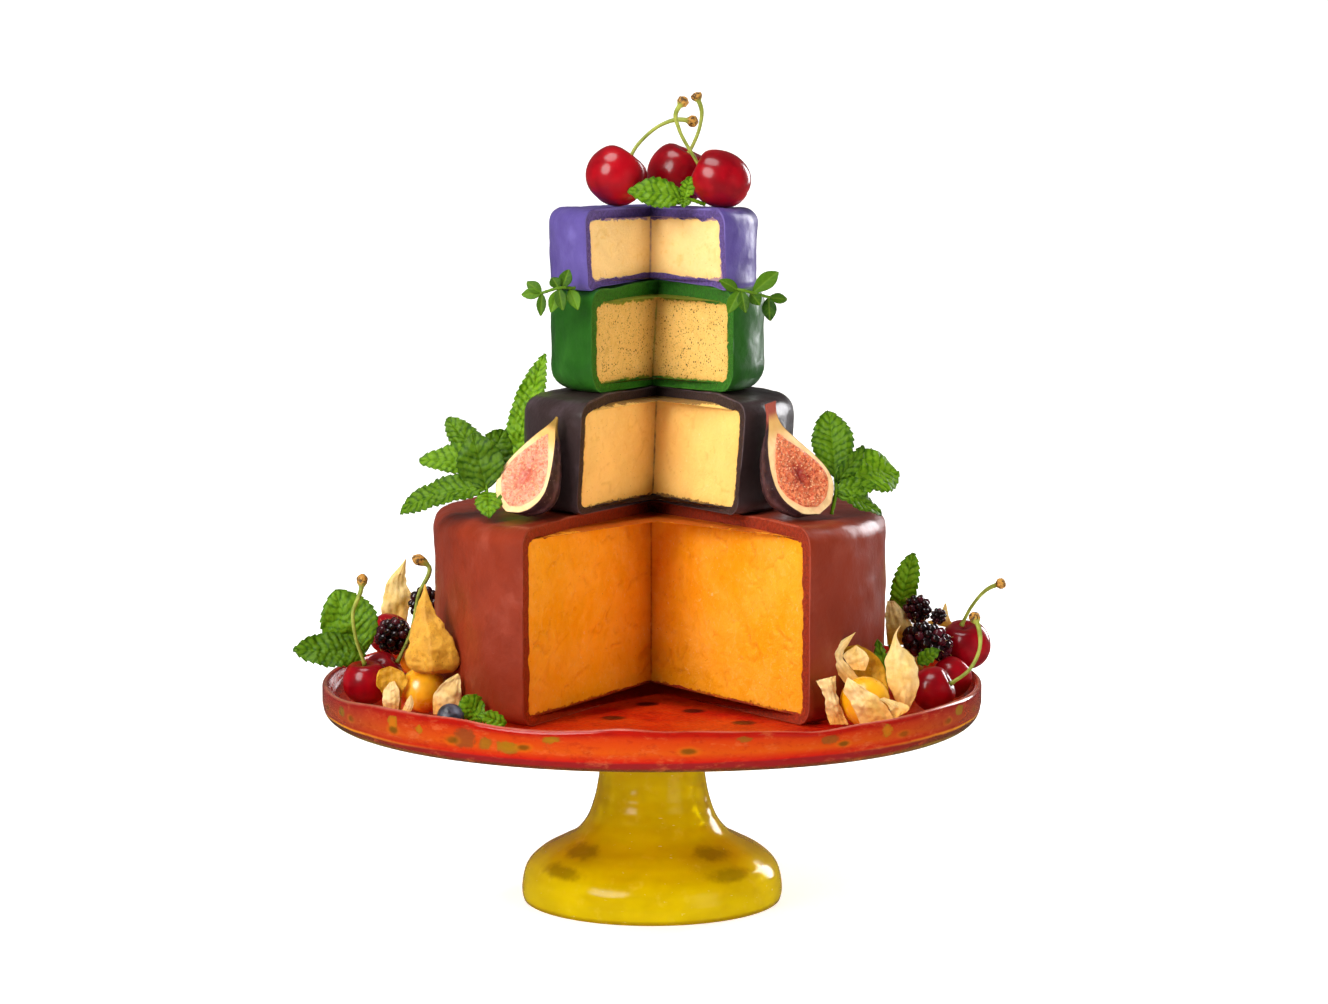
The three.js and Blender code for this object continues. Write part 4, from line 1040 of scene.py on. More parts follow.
def paste_body(w, seed, relief):
    """The cheese inside the wax. Each level is a loop: round the back, then in along the right cut to
    the apex and out along the left one. The cut faces carry creases, where a slow ripple passes through
    0, and a soft swirled relief. marks: the creases, and on the cut the distances to its edge and to
    the apex."""
    low, high = w["low"] + w["base"] - SNUG, w["high"] - w["lid"] + SNUG
    rim = w["radius"] - w["side"] + SNUG
    levels = int((high - low) / 0.95)
    level = np.linspace(0, 1, levels)
    corner = 3  # radius of the rounded rim
    curve = np.minimum(np.minimum(level, 1 - level) * (high - low), corner) / corner
    reach = rim - corner * (1 - np.sqrt(1 - (1 - curve) ** 2))
    behind, face = 48, int(w["radius"] * 0.95)
    along = np.linspace(1, 0, face)
    way_out = np.r_[np.ones(behind), along[1:], along[::-1][1:-1]]
    part = np.r_[np.linspace(0, 1, behind), np.ones(face - 1), np.zeros(face - 2)]
    height = (low + (high - low) * level)[:, None] * np.ones(len(part))
    fall = w["droop"] * ease(w["flat"], w["radius"], way_out * w["radius"]) - w["dome"] * (1 - way_out**2)
    height = height - fall * ease(0.75, 1, level)[:, None]
    rest, run = wheel_points(w, reach[:, None] * np.ones(len(part)), height, part * np.ones((levels, 1)))
    apex_x, left, right = cut_frame(w, height)
    apex = np.stack([apex_x, np.full_like(apex_x, w["apex_y"]), height], -1)
    grid = apex + (rest - apex) * way_out[None, :, None]
    distance = run * way_out
    on_face = (np.arange(len(part)) >= behind - 1) * np.ones((levels, 1))
    edge = np.minimum(run - distance, np.minimum(height - low, high - height)) - SNUG
    crease = np.abs(ripple(grid * (1, 1, 1.9), 34, seed) + 0.35 * ripple(grid, 9, seed + 1))
    crease = bell(crease, 0.06) * ease(-0.2, 0.3, ripple(grid, 26, seed + 2))
    swirl = grid + 3 * np.stack([ripple(grid, 18, seed + k) for k in (6, 7, 8)], -1)
    soft = 0.16 * ripple(grid, 12, seed + 3) + 0.13 * ripple(swirl, 4.2, seed + 4)
    wear = ease(2, 5, edge) * ease(0, 3, distance) * on_face
    angle = np.where(part < 0.5, left, right)
    turn = np.where(part < 0.5, 1.0, -1.0)
    out = np.stack([-np.sin(angle) * turn, np.cos(angle) * turn, np.zeros_like(angle)], -1)
    grid = grid + out * ((soft - 0.7 * crease) * relief * wear)[..., None]
    return skin(grid, edge=np.where(on_face > 0, edge, 0), crease=crease * wear,
                apex=np.where(on_face > 0, distance, 99))


def wax_paint(name, tone, cut_tone, scuff_and_sheen, scuff_and_sheen_share, paste):
    """Satin wax: the colour drifts in soft clouds, pale patches that are partly scuffs and partly painted
    sheen gather in places, fine pits painted dark as shade and a low relief break the gloss, and the lid is
    painted darker as shade. Cut wax is rougher and granular, with crumbs of cheese towards its inner edge,
    painted shade where it faces up, and a bright line along its outer corner that is a painted highlight."""
    p = Paint(name)
    crown, cut, depth = (p.mark(mark) for mark in ("crown", "cut", "depth"))
    pits = 1 - p.cells(2.6).step(0.06, 0.13)
    grain = p.noise(1.3, 4, 0.7)
    outside = p.layers(
        p.mix(p.noise(48, 3, 0.5).step(0.3, 0.7), darker(tone, 0.84), toward(tone, scuff_and_sheen, 0.12)),
        (p.noise(11, 4, 0.6).step(0.4, 0.68) * 0.5, darker(tone, 0.78)),
        # Pale patches: partly scuffs in the wax, partly painted sheen.
        (p.noise(17, 5, 0.62).step(0.52, 0.78) * scuff_and_sheen_share, scuff_and_sheen),
        # Painted shade: the fine pits are darker.
        (pits * 0.35 * p.noise(9, 2).step(0.42, 0.6), darker(tone, 0.5)),
        # Painted shade: the lid, which faces up, is darker.
        (crown * 0.22, darker(tone, 0.6)))
    crumbs = (p.noise(1.9, 4, 0.75) + depth**6 * 0.14).step(0.7, 0.76)
    corner = (1 - (depth + (grain - 0.5) * 0.16).step(0.06, 0.17)) * p.noise(8, 2).step(0.3, 0.5)
    fresh = p.layers(
        p.mix(grain.step(0.35, 0.66), darker(cut_tone, 0.5), cut_tone),
        # Painted shade: cut wax that faces up is darker.
        (crown * 0.3, darker(cut_tone, 0.5)),
        (crumbs * 0.75, toward(paste, cut_tone, 0.3)),
        # Painted highlight: a bright line along the cut's outer corner.
        (corner * 0.75, toward(cut_tone, scuff_and_sheen, 0.8)))
    rough = 0.24 + p.noise(9, 4) * 0.2 + cut * 0.25
    bump = p.bump(p.noise(6, 3), 0.3, p.bump(grain * (cut * 1.4 + 0.12) - pits * 0.1, 0.35))
    return p.finish(p.mix(cut, outside, fresh), rough, bump, IOR=1.45, Specular_IOR_Level=0.45)


def paste_paint(name, tone, wax, shade, herbs=False):
    """Cut cheese: soft clouds of a paler and a deeper tone; swirling curd, painted paler on its raised swirls
    as light and darker in its hollows as shade, with pale flakes; pin pits and creases painted dark as shade;
    specks of herb in one of them; painted shade that deepens towards the apex; wax dragged in from the cut
    coat; a broken dark line in the corner at the apex; and painted shade along the ragged edge by the wax."""
    p = Paint(name)
    apex, edge = p.mark("apex"), p.mark("edge")
    curd = p.noise(3.4, 5, 0.68, bend=1.1)
    flakes = p.noise(1.5, 3, 0.6, bend=0.6).step(0.62, 0.7) * p.noise(10, 2).step(0.42, 0.6)
    pits = (1 - p.cells(2.4).step(0.05, 0.11)) * p.noise(9, 2).step(0.5, 0.6)
    specks = [
        ((1 - p.cells(size).step(0.16, 0.3)) * p.noise(3.6 * size, 2).step(0.44, 0.54) * strength, speck)
        for size, strength, speck in HERB_SPECKS if herbs]
    corner = (1 - (apex + p.noise(1.5, 2) * 1.1).step(0.6, 1.7)) * p.noise(5, 2).step(0.25, 0.6)
    ragged = edge + (p.noise(3.4, 5, 0.75) - 0.5) * 4.6 + (p.noise(12, 2) - 0.5) * 2.2
    smear = (1 - ragged.step(0.25, 0.7)) * apex.step(1, 4)
    clouds = p.noise(20, 4, 0.6, bend=0.4).step(0.35, 0.68)
    body = p.layers(
        p.mix(clouds, darker(tone, 0.92), toward(tone, (1.0, 0.8, 0.3), 0.08)),
        # Painted light: the curd's raised swirls are paler.
        (curd.step(0.53, 0.68) * 0.5, toward(tone, (1, 0.85, 0.4), 0.2)),
        # Painted shade: the curd's hollows are darker.
        ((1 - curd.step(0.33, 0.44)) * 0.32, shade),
        (flakes * 0.5, toward(tone, (1, 0.9, 0.6), 0.4)),
        # Painted shade: the pin pits are darker.
        (pits * 0.8, darker(shade, 0.4)),
        # Painted shade: the creases are darker.
        (p.mark("crease") * 0.35, darker(shade, 0.85)),
        *specks,
        # Painted shade: the paste darkens towards the apex, the inner corner of the cut.
        ((1 - apex.step(0, 15)) * (0.4 if herbs else 0.22), darker(shade, 0.62)),
        (corner * 0.7, toward(wax, shade, 0.25)),
        (smear * 0.85, wax),
        # Painted shade along the ragged edge by the wax.
        ((1 - ragged.step(0.6, 4.5)) * 0.18, shade))
    height = curd * 0.9 + p.noise(1.1, 4, 0.7, bend=0.5) * 0.45 + flakes * 0.2 - pits * 0.6 - smear * 0.2
    return p.finish(body, 0.5 + p.noise(5, 3) * 0.2, p.bump(height, 0.55), Subsurface_Weight=0.12,
                    Subsurface_Radius=(1.0, 0.45, 0.1), Subsurface_Scale=0.003, Specular_IOR_Level=0.22)


class CAKE_OT_cheeses(bpy.types.Operator):
    """Build the four waxed cheeses with their cuts"""

    bl_idname = "cake.cheeses"
    bl_label = "Waxed cheeses"

    def execute(self, context):
        s = context.scene.cake.cheese
        for seed, (name, wheel) in enumerate(WHEELS.items()):
            cut_tone, scuff_and_sheen, shade, scuff_and_sheen_share = WHEEL_TONES[name]
            tone = getattr(s, f"{name}_paste")
            wax = wax_paint(f"wax_{name}", getattr(s, name), cut_tone, scuff_and_sheen, scuff_and_sheen_share, tone)
            coat = wax_coat(wheel, 10 * seed, s.dents / MM, s.lip / MM)
            piece(f"coat_{name}", [coat], wax, [f"wax_{name}"], sharp=40, weld=True,
                  rounding=0.45)
            inside = paste_paint(f"paste_{name}", tone, cut_tone, shade, name == "green")
            body = paste_body(wheel, 10 * seed + 3, 1.0 if name == "red" else 0.5)
            piece(f"paste_{name}", [body], inside, [f"cheese_{name}"], sharp=50)
        return {"FINISHED"}


# ---- fruit ----


def cherry_body(spec, seed):
    """A ball that is flattened a little at its foot, with a deep dimple at its head, full shoulders round
    it and a shallow seam down one side. mark: how near the stalk is."""

    def reach(polar, turn):
        seam = 0.018 * bell(np.angle(np.exp(1j * (turn - 2.2))), 0.16) * np.sin(polar)
        return (1 - 0.34 * bell(polar, 0.42) - 0.05 * bell(np.pi - polar, 0.5) - seam
                + 0.035 * bell(polar - 0.75, 0.3) + 0.012 * np.sin(2 * turn + seed))

    return skin(posed(ball(*FRUIT_STEPS, reach), *spec), stalk=bell(tilts(FRUIT_STEPS[0]), 0.5))


def cherry_paint(s):
    """Tight glossy skin: deep crimson with a faint paler flush, a dark ring round the stem and tiny dots."""
    p = Paint("cherry_skin")
    tint = p.layers(
        p.mix(p.noise(11, 2).step(0.35, 0.7), darker(s.cherry, 0.72), toward(s.cherry, "c40e1a", 0.35)),
        ((1 - p.cells(1.2).step(0.05, 0.11)) * 0.3, "e85a48"),
        (p.mark("stalk") * 0.6, darker(s.cherry, 0.3)))
    return p.finish(tint, 0.26 + p.noise(3, 2) * 0.06, p.bump(p.noise(6, 2), 0.06), Coat_Weight=0.45,
                    Coat_Roughness=0.14, IOR=1.4, Specular_IOR_Level=0.2, Subsurface_Weight=0.1,
                    Subsurface_Radius=(1.0, 0.1, 0.06), Subsurface_Scale=0.003)


def stem_skins(points, seed):
    """A thin stalk that swells towards a dry, scaly knob at its free end, with four loose scales round
    the knob. mark: the share of the way to the free end."""
    steps = 44
    path, along = route(points, steps), np.linspace(0, 1, steps)
    swell = 0.75 + 0.25 * ease(0.5, 0.85, along) + 1.4 * np.exp(-(((along - 0.935) / 0.055) ** 4))
    swell = swell * (1 - 0.35 * ease(0.975, 1.0, along)) + 0.35 * bell(along, 0.05)
    swell = swell + 0.2 * ease(0.86, 0.92, along) * ripple(path, 1.8, seed)
    skins = [tube(path, swell, 12, along=along)]
    ahead = unit(path[-1] - path[-5])
    square = facing(ahead)
    chance = np.random.default_rng(seed)
    scales = 4
    for k in range(scales):
        turn = 2 * np.pi * (k + chance.uniform(-0.2, 0.2)) / scales
        side = square[0] * np.cos(turn) + square[1] * np.sin(turn)
        start = path[-4] + side * 1.5
        scale = [start, start + side * 0.5 + ahead * 0.8, start + side * 0.6 + ahead * 1.4]
        skins.append(tube(route(scale, 6), (0.6, 0.7, 0.65, 0.5, 0.36, 0.15), 7, along=np.ones(6)))
    return skins


def stem_paint(s):
    """Fresh green that turns brown and rough at the knob."""
    p = Paint("cherry_stem")
    along = p.mark("along")
    fresh = p.mix(p.noise(5, 3).step(0.35, 0.7), darker(s.stem, 0.72), toward(s.stem, "b4b452", 0.35))
    dry = p.mix(p.noise(1.4, 3, 0.7).step(0.42, 0.56), darker(s.knob, 0.16), toward(s.knob, "e0a848", 0.35))
    tint = p.mix((along + (p.noise(2, 2) - 0.5) * 0.08).step(0.86, 0.91), fresh, dry)
    return p.finish(tint, 0.42 + along * 0.25, p.bump(p.noise(1.0, 3), 0.2))


class CAKE_OT_cherries(bpy.types.Operator):
    """Build the cherries and their stems"""

    bl_idname = "cake.cherries"
    bl_label = "Cherries"

    def execute(self, context):
        s = context.scene.cake.fruit
        skin_paint, stalk_paint = cherry_paint(s), stem_paint(s)
        for seed, (name, spec) in enumerate(CHERRIES.items()):
            piece(f"cherry_fruit_{name}", [cherry_body(spec, seed)], skin_paint, [f"cherry_{name}"])
        for seed, (name, points) in enumerate(STEMS.items()):
            piece(f"cherry_stem_{name}", stem_skins(points, seed), stalk_paint, [f"stem_{name}"])
        return {"FINISHED"}


def bramble_skins(spec, seed):
    """Drupelets packed in rings over an egg shape, each ring half a step round from the one below, with
    a dry style on half of them, and the core between them. mark: the shade of each drupelet, or 4 on a
    style."""
    chance = np.random.default_rng(seed)
    at, half, axis = (np.array(value, float) for value in spec)
    bead = min(half.mean() * 0.27, 2.15)
    core = half - bead * 1.02
    skins = [skin(posed(ball(8, 12), at, core * 0.96, axis), shade=0.1)]
    rings = max(int(round(np.pi * core[2] / (bead * 1.62))), 3)
    drupelet = ball(6, 9)
    for i in range(rings + 1):
        polar = np.pi * i / rings
        count = max(int(round(2 * np.pi * core[0] * np.sin(polar) / (bead * 1.72))), 1)
        turn = 2 * np.pi * (np.arange(count) + 0.5 * (i % 2)) / count + chance.uniform(-0.1, 0.1, count)
        out = np.stack([np.sin(polar) * np.cos(turn), np.sin(polar) * np.sin(turn),
                        np.full(count, np.cos(polar))], -1)
        for direction in unit(out + chance.uniform(-0.06, 0.06, out.shape)):
            size = bead * chance.uniform(0.9, 1.08)
            centre = (direction * core) @ facing(axis) + at
            normal = direction @ facing(axis)
            grid = posed(drupelet, centre, (size, size, size * 1.08), normal)
            skins.append(skin(grid, shade=chance.uniform(0, 1)))
            if chance.uniform() < 0.5 and half[0] > 5:
                start = centre + normal * size * 1.02
                bend = unit(normal + chance.uniform(-0.8, 0.8, 3))
                style = [start, start + normal * 0.5, start + normal * 0.6 + bend * 0.7]
                skins.append(tube(route(style, 4), (0.13, 0.11, 0.09, 0.05), 4, shade=np.full(4, 4.0)))
    return skins


def bramble_paint(s):
    """Glossy drupelets from near black to maroon, each a little different, with straw styles."""
    p = Paint("bramble_skin")
    shade = p.mark("shade")
    straw = shade.step(2, 3)
    tint = p.layers(
        p.mix(shade.step(0.45, 1.0), darker(s.bramble, 0.4), "561422"),
        (p.noise(2.5, 2).step(0.55, 0.75) * 0.3, "6a2030"),
        (straw, (0.5, 0.3, 0.1)))
    return p.finish(tint, 0.24 + straw * 0.4, Coat_Weight=0.5, Coat_Roughness=0.1, IOR=1.45)


def blueberry_body():
    """A flat ball whose head sinks into a crown, with five blunt points round it."""

    def reach(polar, turn):
        return 1 - 0.22 * bell(polar, 0.38) + 0.07 * bell(polar - 0.42, 0.1) * (0.6 + 0.4 * np.cos(5 * turn))

    return skin(posed(ball(22, 30, reach), *BLUEBERRY))


def blueberry_paint(s):
    """Blue-black skin under a patchy pale bloom, which is duller than the skin."""
    p = Paint("blueberry_skin")
    bloom = p.noise(4, 4, 0.6).step(0.35, 0.7)
    tint = p.mix(bloom * 0.7, darker(s.blueberry, 0.4), toward(s.blueberry, (0.35, 0.38, 0.5), 0.3))
    return p.finish(tint, 0.35 + bloom * 0.25, p.bump(p.noise(2, 2), 0.1), Coat_Weight=0.15,
                    Coat_Roughness=0.2)


class CAKE_OT_brambles(bpy.types.Operator):
    """Build the brambles and the blueberry"""

    bl_idname = "cake.brambles"
    bl_label = "Brambles and blueberry"

    def execute(self, context):
        s = context.scene.cake.fruit
        paint = bramble_paint(s)
        for seed, (name, spec) in enumerate(BRAMBLES.items()):
            piece(f"bramble_fruit_{name}", bramble_skins(spec, seed + 40), paint, packed(f"bramble_{name}"))
        piece("blueberry_fruit", [blueberry_body()], blueberry_paint(s), ["blueberry"])
        return {"FINISHED"}


def blade_frame(base, tip, face):
    """Start, run, side and up of a blade from its base to its tip, square to each other. up is as near as
    it can be to face."""
    start = np.array(base, float)
    run = np.array(tip, float) - start
    up = np.array(face, float)
    up = unit(up - run * (up @ run) / (run @ run))
    return start, run, unit(np.cross(run, up)), up


def blade_shape(along, belly):
    """Half width of a blade, 0 to 1: a sine whose crest is moved to belly."""
    return np.sin(np.pi * np.clip(along, 0, 1) ** (np.log(0.5) / np.log(belly))) ** 0.8


def petal_skin(spec, seed):
    """A dry petal ruled between two routes, its left and right edge. Its middle stands forward, its edges
    curl, ribs run from base to tip and the paper is crumpled. marks: ribs, the share of the way to the
    tip, and the inner side."""
    rows, columns = 46, 19
    left, right = (route(side, rows)[:, None] for side in spec[:2])
    bulge, inside = spec[2:]
    along = np.linspace(0, 1, rows)[:, None]
    across = np.linspace(-1, 1, columns)[None]
    flat = left + (right - left) * (across[..., None] + 1) / 2
    half = np.linalg.norm(right - left, axis=-1) / 2
    edge = np.abs(across)
    ribs = bell(across, 0.1) + 0.8 * bell(edge - 0.5, 0.1)
    broad = np.minimum(half / 3, 1)
    folds = crumple(flat, seed, (0.9, 9), (0.4, 3.5), (0.14, 1.4))
    height = (bulge * (1 - across**2) * np.sin(np.pi * np.clip(along * 0.86 + 0.1, 0, 1)) + 0.3 * ribs * broad
              + folds * broad * ease(-0.1, 0.2, along) + 0.5 * broad * ease(0.75, 1, edge))
    ahead = unit((0, -1, 0.15))
    sway = 0.35 * ripple(flat, 4, seed + 3) * broad * edge**3 * np.sin(np.pi * along)
    front = flat + ahead * height[..., None] + np.array((1, 0, 0)) * (sway * np.sign(across))[..., None]
    back = front - ahead * 0.3
    return skin(np.concatenate([front, back[:, ::-1]], 1), rib=both_sides(ribs), along=along,
                inner=front_back(inside, 1 - inside, columns))


def lantern_skin():
    """The closed husk: its left and right edge at each height come from LANTERN. Round it runs a loop
    with five sharp ridges, hollows between them and crumpled paper. marks as on a petal."""
    height, left, right = np.array(LANTERN, float).T
    up = np.linspace(0, 1, 60)[:, None]
    z, left, right = (glide(np.linspace(0, 1, len(height)), v, up) for v in (height, left, right))
    turn = round_angles(80)[None]
    folds = np.abs(np.sin(2.5 * (turn + 0.35)))
    reach = 1 - 0.2 * folds**0.8 * np.sin(np.pi * up * 0.9 + 0.3)
    half, middle = (right - left) / 2, (right + left) / 2
    back = -47 + 4 * ease(0.3, 1, up)
    deep = np.minimum(half * 0.85, 9.5)
    grid = np.stack([middle + half * np.cos(turn) * reach, back + deep * np.sin(turn) * reach,
                     z - 1.5 * np.sin(turn) * half / 11 * (1 - up)], -1)
    relief = crumple(grid, 3, (0.55, 8), (0.28, 3), (0.12, 1.3)) * np.minimum(half / 5, 1)
    grid = grid + outward(grid) * relief[..., None]
    return skin(grid, rib=bell(folds, 0.12), along=0.4 * up, inner=0.85)


def husk_paint(s):
    """Dry paper: pale cream outside with soft ribs and an orange flush at the base, ochre inside with
    brown specks and fine veins."""
    p = Paint("husk_paper")
    along, inner = p.mark("along"), p.mark("inner")
    veins = p.noise(2.0, 4, 0.7, bend=0.5, place=p.stretched(1, 1, 0.45))
    specks = (1 - p.cells(1.0).step(0.1, 0.24)) * p.noise(3.5, 3).step(0.46, 0.6)
    pale = p.layers(
        p.mix(p.noise(9, 4, 0.6).step(0.3, 0.72), darker(s.husk, 0.86), toward(s.husk, "fbe4b0", 0.6)),
        (veins.step(0.54, 0.68) * 0.22, "cc9440"),
        ((1 - along.step(0.02, 0.55)) * 0.6, "ec9a20"))
    clouds = p.noise(7, 4, 0.6).step(0.3, 0.72)
    ochre = p.layers(
        p.mix(clouds, darker(s.husk_inside, 0.76), toward(s.husk_inside, "f0b83c", 0.5)),
        (veins.step(0.52, 0.66) * 0.35, "8a5810"))
    paper = p.layers(
        p.mix(inner, pale, ochre),
        (p.mark("rib") * 0.28, p.mix(inner, "c28c40", "e8b85c")),
        (specks * (inner * 0.55 + 0.2), "5c3008"))
    bump = p.bump(veins, 0.35, p.bump(p.noise(1.1, 4, 0.65), 0.3))
    return p.finish(paper, 0.62 + p.noise(3, 2) * 0.15, bump, Specular_IOR_Level=0.3, Subsurface_Weight=0.15,
                    Subsurface_Radius=(1.0, 0.6, 0.2), Subsurface_Scale=0.003)


def ground_cherry_body(spec):
    """A ball with a slight dimple at its head and three faint swellings round it. mark: how near the
    stalk is."""
    body = ball(*FRUIT_STEPS, lambda polar, turn: 1 - 0.05 * bell(polar, 0.3) + 0.008 * np.sin(3 * turn))
    return skin(posed(body, *spec), stalk=bell(tilts(FRUIT_STEPS[0]), 0.35))


def ground_cherry_paint(s):
    """Waxy golden skin with faint upright veins, greener at the stalk."""
    p = Paint("ground_cherry_skin")
    glow = p.noise(8, 3).step(0.3, 0.7)
    veins = p.noise(2.4, 4, 0.6, place=p.stretched(1, 1, 0.25)).step(0.54, 0.66)
    tint = p.layers(
        p.mix(glow, darker(s.ground_cherry, 0.88), toward(s.ground_cherry, (1.0, 0.6, 0.05), 0.3)),
        (veins * 0.25, toward(s.ground_cherry, (1.0, 0.75, 0.3), 0.6)),
        (p.mark("stalk") * 0.6, (0.75, 0.62, 0.18)))
    return p.finish(tint, 0.26 + glow * 0.06, p.bump(p.noise(3, 2), 0.08), Coat_Weight=0.5,
                    Coat_Roughness=0.08, Subsurface_Weight=0.3, Subsurface_Radius=(1.0, 0.5, 0.1),
                    Subsurface_Scale=0.005)


class CAKE_OT_ground_cherries(bpy.types.Operator):
    """Build the ground cherries, their petals and the closed husk"""

    bl_idname = "cake.ground_cherries"
    bl_label = "Ground cherries and husks"

    def execute(self, context):
        s = context.scene.cake.fruit
        fruit, paper = ground_cherry_paint(s), husk_paint(s)
        for name, spec in GROUND_CHERRIES.items():
            piece(f"ground_cherry_fruit_{name}", [ground_cherry_body(spec)], fruit, [f"ground_cherry_{name}"])
        for seed, (name, spec) in enumerate(HUSKS.items()):
            piece(f"petal_{name}", [petal_skin(spec, seed * 7 + 1)], paper, packed(f"husk_{name}"))
        piece("lantern_husk", [lantern_skin()], paper, ["husk_left_lantern"])
        return {"FINISHED"}


# ---- figs ----


def fig_frame(spec):
    """Low end, run, side and outward side of a halved fig, square to each other."""
    return blade_frame(spec["low"], spec["tip"], spec["face"])


def fig_width(spec, along):
    """Half width of the pear outline, in millimetres."""
    return spec["wide"] * glide(FIG_STEPS, spec["outline"], np.clip(along, 0, 1))


def fig_middle(spec, along):
    """The line up the middle of the face, which bows sideways by bend."""
    low, run, across, _ = fig_frame(spec)
    return low + run * along[:, None] + across * (spec["bend"] * np.sin(np.pi * along**2))[:, None]


def pulp_span(spec, inner):
    """Place along the fig and half width of the pulp at a share of its own length: a drop shape that
    leaves a rind all round."""
    along = FIG["pulp_low"] + (spec["pulp_high"] - FIG["pulp_low"]) * np.asarray(inner)
    half = (spec["wide"] - FIG["rind"]) * glide(PULP_STEPS, PULP_OUTLINE, np.clip(inner, 0, 1))
    return along, np.clip(np.minimum(half, fig_width(spec, along) - FIG["least_rind"]), 0, None)


def fig_skins(spec, seed):
    """Skin and rind of a halved fig. Each step along it is a loop: round the back, in across the pale
    rind to the pulp, under the pulp in a shallow bowl and out across the rind on the other side. Low
    wrinkles run along the back. marks: the cut face, the share of the way to the tip, how near the pulp
    is and the angle round the back."""
    behind, under, edge = 33, 13, 6  # columns round the back, under the pulp and across each rind
    front = under + 2 * edge
    _, _, across, out = fig_frame(spec)
    along = np.r_[np.linspace(0, 0.06, 10, endpoint=False), np.linspace(0.06, 1, 90)]
    inner = (along - FIG["pulp_low"]) / (spec["pulp_high"] - FIG["pulp_low"])
    pulp = np.where((inner > 0) & (inner < 1), pulp_span(spec, np.clip(inner, 0, 1))[1], 0)[:, None]
    half = fig_width(spec, along)[:, None]
    deep = half * FIG["depth"] / spec["wide"]
    turn = np.linspace(0, np.pi, behind)[None]
    bowl = np.linspace(-1, 1, under)[None]
    rind = np.linspace(0.06, 1, edge)[None]
    sideways = np.concatenate([np.sign(np.cos(turn)) * np.abs(np.cos(turn)) ** 0.78 * half,
                               -half + rind * (half - pulp), bowl * pulp,
                               half - rind[:, ::-1] * (half - pulp)], 1)
    back = np.concatenate([np.abs(np.sin(turn)) ** 0.78 * deep, 0 * rind * half,
                           0.35 + 2.2 * (1 - bowl**2) * np.minimum(pulp / 4, 1), 0 * rind * half], 1)
    grid = fig_middle(spec, along)[:, None] + across * sideways[..., None] - out * back[..., None]
    relief = 0.3 * np.sin(14 * turn + 2 * np.sin(along[:, None] * 5)) * half / spec["wide"]
    relief = np.concatenate([relief * np.sin(turn), np.zeros((len(along), front))], 1)
    relief = (relief + 0.12 * ripple(grid, 3, seed)) * np.r_[np.sin(turn[0]) > 0.02, np.zeros(front)]
    grid = grid + outward(grid) * relief[..., None]
    grid[..., 2] = np.maximum(grid[..., 2], WHEELS["red"]["high"] + 0.2)
    depth = np.concatenate([np.zeros((1, behind)), rind, np.ones((1, under)), rind[:, ::-1]], 1)
    return skin(grid, face=np.repeat([0.0, 1.0], [behind, front]), along=along[:, None], depth=depth,
                stripe=np.r_[turn[0], np.zeros(front)])


def pulp_skins(spec, seed):
    """The cut pulp: a drop-shaped pad whose face is rough, with threads that run to a hollow in the
    middle, and the loose seeds themselves. marks: the distance from the middle and the tone of a seed."""
    rows, columns, tries = 80, 45, 300
    _, _, across, out = fig_frame(spec)
    inner = np.linspace(0.006, 0.994, rows)
    along, half = pulp_span(spec, inner)
    inner, half = inner[:, None], half[:, None] + 0.15
    side = np.linspace(-1, 1, columns)[None]
    flat = fig_middle(spec, along)[:, None] + across * (side * half)[..., None]
    distance = np.sqrt(side**2 + ((inner - 0.42) / 0.52) ** 2)
    slit = bell(side * half, 1.3) * bell(inner - 0.45, 0.17)
    turn = np.arctan2((inner - 0.42) * 30, side * half)
    threads = 0.22 * np.sin(34 * turn + 3 * ripple(flat, 4, seed + 3)) * ease(0.1, 0.5, distance)
    rough = crumple(flat, seed, (0.34, 1.9), (0.24, 0.9), (0.3, 5))
    level = 0.25 + (rough + threads) * ease(1.02, 0.8, np.abs(side)) - 1.2 * slit
    face = flat + out * level[..., None]
    under = flat - out * (0.3 + 1.9 * (1 - side**2) * np.minimum(half / 4, 1))[..., None]
    core = np.concatenate([np.clip(distance, 0, 2), np.full(distance.shape, 2.0)], 1)
    skins = [skin(np.concatenate([face, under[:, ::-1]], 1), core=core, seed=0)]
    chance = np.random.default_rng(seed)
    grain = ball(3, 6)
    for _ in range(tries):
        row, column = int(chance.uniform(2, rows - 3)), int(chance.uniform(2, columns - 2))
        if distance[row, column] < 0.2:
            continue
        at = face[row, column] + out * chance.uniform(-0.1, 0.16)
        size = chance.uniform(0.24, 0.4)
        skins.append(skin(posed(grain, at, (size, size * 0.75, size * 1.25), chance.normal(size=3)),
                          core=distance[row, column], seed=chance.uniform(0.5, 1)))
    return skins


